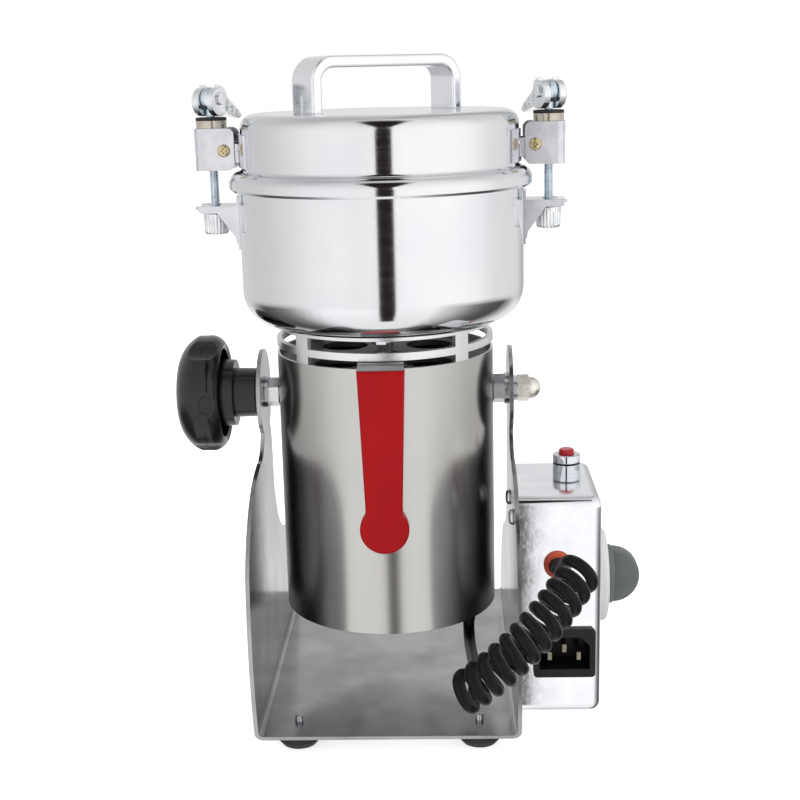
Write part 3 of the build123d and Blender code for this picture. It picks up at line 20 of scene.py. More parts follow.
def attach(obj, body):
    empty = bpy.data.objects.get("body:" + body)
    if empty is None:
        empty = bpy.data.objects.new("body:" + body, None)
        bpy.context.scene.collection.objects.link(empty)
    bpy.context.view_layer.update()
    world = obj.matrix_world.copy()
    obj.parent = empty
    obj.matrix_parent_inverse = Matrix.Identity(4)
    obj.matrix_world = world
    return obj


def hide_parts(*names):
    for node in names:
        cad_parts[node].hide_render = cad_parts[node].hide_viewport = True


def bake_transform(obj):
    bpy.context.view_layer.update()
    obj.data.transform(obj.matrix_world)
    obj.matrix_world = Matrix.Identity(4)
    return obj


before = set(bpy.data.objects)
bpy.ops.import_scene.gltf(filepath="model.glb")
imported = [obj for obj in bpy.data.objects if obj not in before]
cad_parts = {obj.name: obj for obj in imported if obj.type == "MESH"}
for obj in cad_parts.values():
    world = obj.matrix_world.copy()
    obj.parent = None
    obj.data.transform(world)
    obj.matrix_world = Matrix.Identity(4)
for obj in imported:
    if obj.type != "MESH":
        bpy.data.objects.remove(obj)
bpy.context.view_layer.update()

log = logging.getLogger("grain_mill")

MM = 0.001
AXIS_X = -10.65
AXIS_Y = -8.75

# How far a sum of lengths in metres may fall short of its own total
ROUNDING = 1e-12
# Radius at which a turned outline ends on its axis, and the radius under which its end is closed
ON_AXIS = 0.001
NEAR_AXIS = 0.01
# How many times longer than wide a polishing line is
LINE_LENGTH = 40
# The least roughness that a finish comes down to
SMOOTHEST = 0.02
# Values of the noise between which a finish's colour drifts, and between which its roughness varies
COLOUR_NOISE = (0.35, 0.65)
ROUGH_NOISE = (0.3, 0.7)
# How fast the noise of the polishing lines loses strength from one octave to the next
LINE_FADE = 0.6
# Turns a brushed finish's highlight across its lines, as a share of a whole turn
ACROSS_THE_LINES = 0.25
# Width of a cross recess at its foot, as a share of its top, and how far the cutter stands out over it
CROSS_TAPER = 0.55
CUTTER_RISE = 1.0
# Steepness of a thread's flanks, and how wide its crest is before they cut it down
THREAD_FLANK = 4.4
THREAD_CREST = 1.6
# Faces round a threaded rod, rows in one turn of its thread, and the size and slope of its end's chamfer
ROD_SIDES = 28
THREAD_ROWS = 8
CHAMFER = 0.6
CHAMFER_SLOPE = 0.9

Point = tuple[float, float, float]
Outline = Sequence[tuple[float, float]]
Ripple = Callable[[float, float, float], float]


def place(x: float, y: float, z: float) -> Vector:
    """Turns a point on the machine's own axes, in millimetres, into the scene's metres.

    Args:
        x: Distance to the right of the axis.
        y: Distance behind the axis.
        z: Height over the table.

    Returns:
        The point in the scene.
    """
    return Vector(((x + AXIS_X) * MM, (y + AXIS_Y) * MM, z * MM))


def linear(colour: str) -> tuple[float, float, float, float]:
    """Turns an sRGB hex colour into linear values.

    Args:
        colour: Six hex digits after a hash.

    Returns:
        Red, green and blue in linear light, and full alpha.
    """
    shares = [int(colour[i : i + 2], 16) / 255 for i in (1, 3, 5)]
    red, green, blue = (s / 12.92 if s <= 0.04045 else ((s + 0.055) / 1.055) ** 2.4 for s in shares)
    return (red, green, blue, 1.0)


def add_node(
    tree: bpy.types.NodeTree,
    kind: str,
    settings: dict[str | int, object] | None = None,
    links: dict[str | int, bpy.types.NodeSocket] | None = None,
) -> bpy.types.Node:
    """Adds one shader node with its settings and links.

    Args:
        tree: The node tree that gets it.
        kind: Blender's name for the node's type.
        settings: Values by property name, or by input name or number.
        links: Output sockets by input name or number.

    Returns:
        The new node.
    """
    node = tree.nodes.new(kind)
    for key, value in (settings or {}).items():
        if isinstance(key, str) and hasattr(node, key):
            setattr(node, key, value)
        else:
            node.inputs[key].default_value = value
    for key, socket in (links or {}).items():
        tree.links.new(socket, node.inputs[key])
    return node


def linked(name: str, data: bpy.types.ID) -> bpy.types.Object:
    """Makes an object of some data and puts it into the scene.

    Args:
        name: The object's name.
        data: Its mesh, curve, lamp or camera.

    Returns:
        The new object.
    """
    thing = bpy.data.objects.new(name, data)
    bpy.context.scene.collection.objects.link(thing)
    return thing


def skin(name: str, points: Sequence[Vector], faces: Sequence[tuple[int, ...]]) -> bpy.types.Mesh:
    """Makes a mesh from its points and faces.

    Args:
        name: The mesh's name.
        points: Its points, in metres.
        faces: The numbers of each face's points, in order.

    Returns:
        The new mesh.
    """
    mesh = bpy.data.meshes.new(name)
    mesh.from_pydata(points, [], faces)
    return mesh


class Grain(Enum):
    """Which way a surface's fine lines run."""

    NONE = "none"
    ROUND = "round the machine's axis"
    ACROSS = "across the machine and up its arms"


@dataclass(frozen=True)
class Finish:
    """A material and how its surface was made.

    Attributes:
        name: What it is and how it was made.
        colour: Its main sRGB colour.
        shade: The sRGB colour it drifts to in places.
        roughness: Mean roughness.
        spread: How far the roughness varies either way.
        metallic: One for a metal.
        ior: Index of refraction, left alone on a metal.
        grain: The direction of its polishing lines.
        pitch: Spacing of its lines or grains in millimetres.
        relief: Height of its lines or grains in millimetres.
        patch: Size in millimetres of the areas that differ in tone.
        edge: Radius in millimetres of the softened edges.
        anisotropy: How far brushing draws the highlights out.
        gloss: Strength of the clear reflection, half for plain plastic and less where bloom dulls it.
    """

    name: str
    colour: str
    shade: str
    roughness: float
    spread: float = 0.04
    metallic: float = 0.0
    ior: float = 1.5
    grain: Grain = Grain.NONE
    pitch: float = 0.5
    relief: float = 0.01
    patch: float = 30.0
    edge: float = 0.25
    anisotropy: float = 0.0
    gloss: float = 0.5

    def material(self) -> bpy.types.Material:
        """Makes the material once.

        Returns:
            The material, the same one each time.
        """
        ready = bpy.data.materials.get(self.name)
        if ready is not None:
            return ready
        material = bpy.data.materials.new(self.name)
        material.use_nodes = True
        tree = material.node_tree
        shader = tree.nodes["Principled BSDF"]
        shader.inputs["Metallic"].default_value = self.metallic
        shader.inputs["Anisotropic"].default_value = self.anisotropy
        if self.metallic == 0:
            shader.inputs["IOR"].default_value = self.ior
            shader.inputs["Specular IOR Level"].default_value = self.gloss
        self.dress(tree, shader)
        return material

    def dress(self, tree: bpy.types.NodeTree, shader: bpy.types.Node) -> None:
        """Gives the shader its drifting colour, varied roughness and fine relief.

        Args:
            tree: The material's node tree.
            shader: Its Principled shader.
        """
        where = self.coordinates(tree)
        lines = add_node(
            tree,
            "ShaderNodeTexNoise",
            {"Scale": 1.0, "Detail": 3.0, "Roughness": LINE_FADE},
            {"Vector": self.stretched(tree, where)},
        )
        clouds = add_node(
            tree,
            "ShaderNodeTexNoise",
            {"Scale": 1 / (self.patch * MM), "Detail": 2.0, "Roughness": 0.5},
            {"Vector": where},
        )
        tones = add_node(tree, "ShaderNodeValToRGB", links={"Fac": clouds.outputs["Fac"]})
        for stop, value, colour in zip(tones.color_ramp.elements, COLOUR_NOISE, (self.shade, self.colour)):
            stop.position = value
            stop.color = linear(colour)
        tree.links.new(tones.outputs["Color"], shader.inputs["Base Color"])
        rough = add_node(
            tree,
            "ShaderNodeMapRange",
            {
                "From Min": ROUGH_NOISE[0],
                "From Max": ROUGH_NOISE[1],
                "To Min": max(SMOOTHEST, self.roughness - self.spread),
                "To Max": self.roughness + self.spread,
            },
            {"Value": lines.outputs["Fac"]},
        )
        tree.links.new(rough.outputs["Result"], shader.inputs["Roughness"])
        rounded = add_node(tree, "ShaderNodeBevel", {"samples": 4, "Radius": self.edge * MM})
        bump = add_node(
            tree,
            "ShaderNodeBump",
            {"Strength": 1.0, "Distance": self.relief * MM},
            {"Height": lines.outputs["Fac"], "Normal": rounded.outputs["Normal"]},
        )
        tree.links.new(bump.outputs["Normal"], shader.inputs["Normal"])
        if self.anisotropy:
            shader.inputs["Anisotropic Rotation"].default_value = ACROSS_THE_LINES
            round_axis = add_node(tree, "ShaderNodeTangent", {"direction_type": "RADIAL", "axis": "Z"})
            tree.links.new(round_axis.outputs["Tangent"], shader.inputs["Tangent"])

    def coordinates(self, tree: bpy.types.NodeTree) -> bpy.types.NodeSocket:
        """Adds object coordinates counted from the machine's axis.

        Args:
            tree: The material's node tree.

        Returns:
            Their socket.
        """
        source = add_node(tree, "ShaderNodeTexCoord")
        centred = add_node(
            tree,
            "ShaderNodeMapping",
            {"Location": (-AXIS_X * MM, -AXIS_Y * MM, 0.0)},
            {"Vector": source.outputs["Object"]},
        )
        return centred.outputs["Vector"]

    def stretched(self, tree: bpy.types.NodeTree, where: bpy.types.NodeSocket) -> bpy.types.NodeSocket:
        """Scales the coordinates so that the noise runs in lines along the grain.

        Args:
            tree: The material's node tree.
            where: Coordinates counted from the machine's axis.

        Returns:
            The socket with the scaled coordinates.
        """
        fine = 1 / (self.pitch * MM)
        long = fine / LINE_LENGTH
        if self.grain is Grain.NONE:
            scale = (fine, fine, fine)
        elif self.grain is Grain.ACROSS:
            scale = (long, fine, long)
        else:
            scale = (long, long, 0.0)
        scaled = add_node(tree, "ShaderNodeMapping", {"Scale": scale}, {"Vector": where})
        if self.grain is not Grain.ROUND:
            return scaled.outputs["Vector"]
        flat = add_node(tree, "ShaderNodeMapping", {"Scale": (1.0, 1.0, 0.0)}, {"Vector": where})
        radius = add_node(
            tree, "ShaderNodeVectorMath", {"operation": "LENGTH"}, {0: flat.outputs["Vector"]}
        )
        parts = add_node(tree, "ShaderNodeSeparateXYZ", links={"Vector": where})
        rise = add_node(
            tree,
            "ShaderNodeMath",
            {"operation": "ADD"},
            {0: parts.outputs["Z"], 1: radius.outputs["Value"]},
        )
        rings = add_node(tree, "ShaderNodeCombineXYZ", links={"Z": rise.outputs["Value"]})
        spaced = add_node(
            tree,
            "ShaderNodeVectorMath",
            {"operation": "SCALE", "Scale": fine},
            {0: rings.outputs["Vector"]},
        )
        both = add_node(
            tree,
            "ShaderNodeVectorMath",
            {"operation": "ADD"},
            {0: scaled.outputs["Vector"], 1: spaced.outputs["Vector"]},
        )
        return both.outputs["Vector"]


# Deep-drawn stainless steel, buffed round on a lathe: a mirror with faint rings
BOWL_STEEL = Finish(
    "stainless_steel_drawn_and_mirror_buffed", "#E8E8EA", "#E2E3E6", 0.1, 0.03, 1.0,
    grain=Grain.ROUND, pitch=0.5, relief=0.0015, patch=40, edge=0.4,
)
# Stainless tube, brushed round: fine rings that draw every reflection up and down
CAN_STEEL = Finish(
    "stainless_steel_tube_brushed_round", "#C8C6C3", "#C6C4C1", 0.27, 0.003, 1.0,
    grain=Grain.ROUND, pitch=0.35, relief=0.0001, patch=50, edge=0.2, anisotropy=0.6,
)
# Turned ring, glass-bead satin: even pale grey without a mirror image
RING_STEEL = Finish(
    "steel_ring_turned_and_satin_blasted", "#ECECEC", "#E4E4E5", 0.3, 0.05, 1.0,
    grain=Grain.ROUND, pitch=0.4, relief=0.004, patch=25, edge=0.25,
)
# Cold-rolled stainless sheet, buffed lengthways: soft mirror and faint straight lines, with random darker
# patches that are painted reflection, standing in for the can's cloudy dark mirror image
SHEET_STEEL = Finish(
    "stainless_steel_sheet_buffed", "#B1B1B2", "#97979A", 0.2, 0.05, 1.0,
    grain=Grain.ACROSS, pitch=0.5, relief=0.002, patch=28, edge=0.35,
)
# Chrome plate on polished steel: a cold clear mirror
CHROME = Finish(
    "chrome_plate_on_polished_steel", "#E0E3E7", "#D9DCE1", 0.06, 0.02, 1.0,
    pitch=6.0, relief=0.006, patch=40, edge=0.4,
)
# Chrome plate over a stamped sheet cover: wavy mirror, because the sheet was not ground first
CHROME_SHEET = Finish(
    "chrome_plate_on_stamped_sheet", "#F5F6F9", "#EBECF0", 0.1, 0.03, 1.0,
    pitch=9.0, relief=0.03, patch=15, edge=0.4,
)
# Chrome over a bar ground and buffed by hand: its edges are soft, with broad highlights
CHROME_BAR = Finish(
    "chrome_plate_on_hand_buffed_bar", "#F4F5F8", "#ECEEF1", 0.1, 0.02, 1.0,
    pitch=8.0, relief=0.01, patch=40, edge=0.9,
)
# Bent hinge and latch sheet, barrel polished: bright with a soft bloom
LATCH_STEEL = Finish(
    "steel_sheet_nickel_plated_and_tumbled", "#E0DFE4", "#D2D2D8", 0.2, 0.05, 1.0,
    pitch=2.0, relief=0.006, patch=8, edge=0.35,
)
# Zinc casting under chrome: bright, with the soft dimples of the mould
CAST_CHROME = Finish(
    "zinc_casting_chrome_plated", "#F6F7F8", "#E6E8EB", 0.2, 0.07, 1.0,
    pitch=1.6, relief=0.03, patch=6, edge=0.45,
)
# Blades of the inlet, brass under dull nickel: warm grey ends that barely shine
PIN_BRASS = Finish(
    "brass_blade_nickel_plated", "#A39C8B", "#8F8878", 0.42, 0.08, 1.0,
    pitch=0.5, relief=0.006, patch=2.5, edge=0.3,
)
# Rolled thread under blue-passivated zinc: pale blue-grey
ZINC_THREAD = Finish(
    "steel_thread_blue_zinc_plated", "#E4EEF3", "#C8D6DF", 0.26, 0.07, 1.0,
    pitch=0.6, relief=0.01, patch=5, edge=0.1,
)
# Cold-headed screw under yellow passivate: pale straw, darker in random patches
YELLOW_ZINC = Finish(
    "steel_screw_yellow_zinc_plated", "#D9CDA6", "#BFB189", 0.26, 0.07, 1.0,
    pitch=0.5, relief=0.006, patch=2.5, edge=0.15,
)
# Turned collar under nickel: warm grey metal
NICKEL = Finish(
    "turned_steel_nickel_plated", "#CFC8BB", "#BEB7AA", 0.22, 0.05, 1.0,
    pitch=0.6, relief=0.004, patch=6, edge=0.3,
)
# Hex nuts and washers, stamped and zinc plated: light grey
PLAIN_ZINC = Finish(
    "steel_nut_bright_zinc_plated", "#E2E3E4", "#D4D6D8", 0.24, 0.04, 1.0,
    pitch=0.8, relief=0.003, patch=5, edge=0.3,
)
# Cap nut under thick bright plate, pitted and a little yellowed
CAP_NUT = Finish(
    "steel_cap_nut_bright_plated", "#F4F1EB", "#E2DDD2", 0.32, 0.1, 1.0,
    pitch=1.2, relief=0.03, patch=3, edge=0.35,
)
# Blades ground flat after hardening: long fine scratches
BLADE_STEEL = Finish(
    "stainless_blade_hardened_and_ground", "#C8C9CB", "#B9BABC", 0.26, 0.08, 1.0,
    grain=Grain.ACROSS, pitch=0.4, relief=0.004, patch=12, edge=0.15,
)
# Sand-cast aluminium of the motor's end plates: dull and grainy, its colour darkened as painted shade for
# the dark inside of the can
SHADED_CAST_ALLOY = Finish(
    "aluminium_sand_cast_painted_shade", "#757573", "#656563", 0.5, 0.08, 1.0, pitch=0.7, relief=0.04, patch=9,
)
# Stacked electrical steel: thin dark edges one above the other
CORE_STEEL = Finish(
    "electrical_steel_laminated_and_varnished", "#5C5B5C", "#48474A", 0.45, 0.1, 1.0,
    grain=Grain.ROUND, pitch=0.5, relief=0.05, patch=9,
)
# Turned copper of the commutator
COPPER = Finish("copper_turned", "#C07A54", "#A3623F", 0.3, 0.08, 1.0, pitch=0.5, relief=0.004, patch=6)
# Red PVC sleeve, dip moulded: smooth, even, with soft edges and a slight bloom
RED_PVC = Finish(
    "pvc_dip_moulded_red", "#B41116", "#AC1015", 0.34, 0.05, ior=1.5,
    pitch=1.5, relief=0.004, patch=18, edge=0.8, gloss=0.16,
)
# Phenolic resin, compression moulded in a polished tool: deep gloss black
BLACK_PHENOLIC = Finish(
    "phenolic_resin_compression_moulded_black", "#0B0B0C", "#101012", 0.2, 0.04, ior=1.5,
    pitch=2.0, relief=0.004, patch=12, edge=0.4,
)
# Glass-filled nylon of the inlet and the timer's case: dull black with a fine grain
BLACK_NYLON = Finish(
    "nylon_injection_moulded_black", "#15171A", "#101113", 0.42, 0.06, ior=1.5,
    pitch=0.3, relief=0.006, patch=8, edge=0.3, gloss=0.35,
)
# Grey ABS knob, spark-eroded texture: no mirror image, only a soft sheen
GREY_ABS = Finish(
    "abs_injection_moulded_grey", "#6E7371", "#686D6B", 0.5, 0.05, ior=1.52,
    pitch=0.3, relief=0.008, patch=12, edge=0.4,
)
# White ABS dial
WHITE_ABS = Finish(
    "abs_injection_moulded_white", "#ECECEB", "#E4E4E3", 0.42, 0.05, ior=1.52,
    pitch=0.4, relief=0.004, patch=14, edge=0.4,
)
# Red acrylic push cap, moulded clear and dyed: wet looking
RED_ACRYLIC = Finish(
    "acrylic_moulded_red", "#C41C2A", "#A91420", 0.12, 0.04, ior=1.49,
    pitch=1.2, relief=0.02, patch=3, edge=0.3,
)
# Black rubber feet, compression moulded and a little dusty
FOOT_RUBBER = Finish(
    "rubber_compression_moulded_black", "#151516", "#1E1E1F", 0.55, 0.1, ior=1.5,
    pitch=0.5, relief=0.02, patch=6, edge=0.4,
)
# Orange silicone grommet, moulded: matt and even
ORANGE_SILICONE = Finish(
    "silicone_rubber_moulded_orange", "#DB6243", "#D0573A", 0.5, 0.05, ior=1.41,
    pitch=0.6, relief=0.006, patch=5, edge=0.4,
)
# Milky silicone seal under the lid
CLEAR_SILICONE = Finish(
    "silicone_rubber_moulded_milky", "#D9D9D3", "#CECEC8", 0.45, 0.05, ior=1.41, pitch=0.6, relief=0.006,
)
# Black PVC cord jacket, extruded: satin with a faint bloom
CORD_PVC = Finish(
    "pvc_cord_jacket_extruded_black", "#0E0E10", "#141416", 0.36, 0.07, ior=1.48,
    pitch=0.9, relief=0.012, patch=7, edge=0.2, gloss=0.18,
)
# Dark pad-printed marks
PRINT_INK = Finish("pad_printed_ink_dark_grey", "#3A3C3E", "#34363A", 0.55, 0.05, pitch=0.3, relief=0.002)


def node(name: str, finish: Finish) -> bpy.types.Object:
    """Dresses one CAD node.

    Args:
        name: The node's name in model.glb.
        finish: What it gets.

    Returns:
        The node's object.
    """
    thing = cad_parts[name]
    material = finish.material()
    if not thing.material_slots:
        thing.data.materials.append(material)
    for slot in thing.material_slots:
        slot.material = material
    log.info("dressed %s with %s", name, finish.name)
    return thing


def piece(
    name: str,
    mesh: bpy.types.Mesh,
    body: str,
    finish: Finish,
    sharp: float = 40.0,
) -> bpy.types.Object:
    """Makes a piece from a finished mesh and lets it ride on a body.

    Args:
        name: The piece's name.
        mesh: Its mesh, in the scene's metres.
        body: The CAD body that carries it.
        finish: Its surface.
        sharp: Angle in degrees over which an edge stays sharp.

    Returns:
        The new object.
    """
    mesh.name = name
    mesh.polygons.foreach_set("use_smooth", [True] * len(mesh.polygons))
    mesh.set_sharp_from_angle(angle=math.radians(sharp))
    mesh.materials.clear()
    mesh.materials.append(finish.material())
    thing = linked(name, mesh)
    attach(thing, body)
    log.info("made %s on %s, %d faces", name, body, len(mesh.polygons))
    return thing


def turned_mesh(outline: Outline, steps: int = 48, ripple: Ripple | None = None) -> bpy.types.Mesh:
    """Turns an outline round Z into a closed skin.

    Args:
        outline: Radius and height of each point, in millimetres, from one end to the other.
        steps: Faces round the turn.
        ripple: Gives the radius from an angle, a radius and a height, for flutes or threads.

    Returns:
        The mesh, in metres, on its own axis.
    """
    points: list[Vector] = []
    faces: list[tuple[int, ...]] = []
    for radius, height in outline:
        for step in range(steps):
            angle = 2 * math.pi * step / steps
            reach = ripple(angle, radius, height) if ripple else radius
            points.append(Vector((reach * math.cos(angle), reach * math.sin(angle), height)) * MM)
    for row in range(len(outline) - 1):
        for step in range(steps):
            after = (step + 1) % steps
            low, high = row * steps, (row + 1) * steps
            faces.append((low + step, low + after, high + after, high + step))
    for row in (0, len(outline) - 1):
        if outline[row][0] < NEAR_AXIS:
            faces.append(tuple(range(row * steps, (row + 1) * steps)))
    return outward(skin("turned", points, faces))


def outward(mesh: bpy.types.Mesh) -> bpy.types.Mesh:
    """Turns all faces of closed skins to the outside.

    Args:
        mesh: The mesh, changed in place.

    Returns:
        The same mesh.
    """
    shape = bmesh.new()
    shape.from_mesh(mesh)
    bmesh.ops.recalc_face_normals(shape, faces=shape.faces)
    shape.to_mesh(mesh)
    shape.free()
    mesh.validate()
    return mesh


def joined(meshes: Sequence[bpy.types.Mesh], places: Sequence[Matrix]) -> bpy.types.Mesh:
    """Gathers copies of meshes at their places into one mesh.

    Args:
        meshes: One mesh per copy.
        places: Where each copy goes; one that mirrors also turns the faces round.

    Returns:
        The gathered mesh.
    """
    points: list[Vector] = []
    faces: list[tuple[int, ...]] = []
    for mesh, where in zip(meshes, places):
        start = len(points)
        points += [where @ vertex.co for vertex in mesh.vertices]
        order = -1 if where.determinant() < 0 else 1
        faces += [tuple(start + i for i in face.vertices)[::order] for face in mesh.polygons]
    return outward(skin("joined", points, faces))


def facing(origin: Vector, direction: Vector) -> Matrix:
    """A place whose own Z points along a direction.

    Args:
        origin: Where it is.
        direction: Where its Z points.

    Returns:
        The matrix of the place.
    """
    return Matrix.Translation(origin) @ direction.to_track_quat("Z", "Y").to_matrix().to_4x4()


def cross_cut(mesh: bpy.types.Mesh, top: float, span: float, slot: float, depth: float) -> bpy.types.Mesh:
    """Cuts a tapering cross recess into the top of a screw head.

    Args:
        mesh: The head, on its own axis.
        top: Height of the head's top in millimetres.
        span: Width over the cross.
        slot: Width of one arm.
        depth: How deep it goes.

    Returns:
        The head with its recess.
    """
    wide, thin = span / 2, slot / 2
    plan = [
        (thin, thin), (wide, thin), (wide, -thin), (thin, -thin), (thin, -wide), (-thin, -wide),
        (-thin, -thin), (-wide, -thin), (-wide, thin), (-thin, thin), (-thin, wide), (thin, wide),
    ]
    points = [Vector((x, y, top + CUTTER_RISE)) * MM for x, y in plan]
    points += [Vector((x * CROSS_TAPER, y * CROSS_TAPER, top - depth)) * MM for x, y in plan]
    count = len(plan)
    faces = [tuple(range(count)), tuple(range(count, 2 * count))]
    faces += [(i, (i + 1) % count, count + (i + 1) % count, count + i) for i in range(count)]
    tool = linked("cross", outward(skin("cross", points, faces)))
    head = linked("head", mesh)
    cut = head.modifiers.new("cut", "BOOLEAN")
    cut.object = tool
    cut.solver = "EXACT"
    bpy.context.view_layer.update()
    result = bpy.data.meshes.new_from_object(head.evaluated_get(bpy.context.evaluated_depsgraph_get()))
    for thing in (tool, head):
        bpy.data.objects.remove(thing)
    return result


def thread_ripple(depth: float, pitch: float) -> Ripple:
    """A screw thread as a change of radius.

    Args:
        depth: Height of the thread in millimetres.
        pitch: Its rise per turn in millimetres.

    Returns:
        A function that gives the radius from an angle, a radius and a height.
    """

    def radius_at(angle: float, radius: float, height: float) -> float:
        """Finds the radius on a flank between root and crest.

        Args:
            angle: Angle round the rod.
            radius: Radius over the crests.
            height: Height along the rod.

        Returns:
            The radius there.
        """
        phase = (height / pitch - angle / (2 * math.pi)) % 1.0
        crest = min(1.0, max(0.0, THREAD_CREST - abs(phase - 0.5) * THREAD_FLANK))
        return radius - depth * (1 - crest)

    return radius_at


def threaded_mesh(radius: float, low: float, high: float, pitch: float, depth: float) -> bpy.types.Mesh:
    """A threaded rod with chamfered ends.

    Args:
        radius: Over the crests, in millimetres.
        low: Its lower end.
        high: Its upper end.
        pitch: Rise per turn.
        depth: Height of the thread.

    Returns:
        The rod's mesh, in metres, on its own axis.
    """
    rows = max(THREAD_ROWS, int((high - low) / pitch * THREAD_ROWS))
    span = high - low
    outline = [(ON_AXIS, low)]
    for row in range(rows + 1):
        height = low + span * row / rows
        inset = max(0.0, CHAMFER - min(height - low, high - height)) * CHAMFER_SLOPE
        outline.append((radius - inset, height))
    outline.append((ON_AXIS, high))
    ripple = thread_ripple(depth, pitch)

    def shaped(angle: float, at: float, height: float) -> float:
        """Keeps the ends' middles on the axis."""
        return at if at < NEAR_AXIS else ripple(angle, at, height)

    return turned_mesh(outline, ROD_SIDES, shaped)


# Bearing in degrees, from 0 at the camera to the right, and brightness of the tent's wall
WALL_TONES = (
    (-180, 0.82), (-160, 0.72), (-120, 0.71), (-100, 0.75), (-84, 0.82), (-70, 0.9), (-56, 1.0),
    (-32, 1.07), (-16, 1.02), (10, 1.1), (24, 1.16), (56, 1.17), (70, 1.14), (84, 1.08), (100, 0.92),
    (140, 0.82), (160, 0.45), (170, 0.75), (180, 0.82),
)
# The same for the table, which is dark to both sides, where the stand's arms face
FLOOR_TONES = (
    (-180, 1.0), (-150, 0.9), (-120, 0.08), (-100, 0.15), (-84, 0.3), (-70, 0.65), (-56, 1.0),
    (-44, 1.15), (44, 1.1), (56, 0.75), (70, 0.5), (84, 0.25), (100, 0.12), (120, 0.08), (150, 0.9),
    (180, 1.0),
)
# Height of a direction, from straight down to straight up, and the share of the light left there
CEILING_TONES = ((-1.0, 0.85), (-0.4, 1.0), (0.12, 1.0), (0.3, 0.98), (0.6, 0.9), (1.0, 0.72))
# The brightness that the top of a tone curve stands for
BRIGHTEST = 1.5
# Name of each soft lamp, its place and the length of its side in metres, and its power in watts
SOFT_LAMPS = (
    ("left_soft_box", (-1.25, -1.15, 0.75), 1.5, 7.0),
    ("right_soft_box", (1.35, -1.05, 0.8), 1.5, 8.5),
    ("top_soft_box", (0.1, 0.2, 1.7), 1.6, 7.0),
)


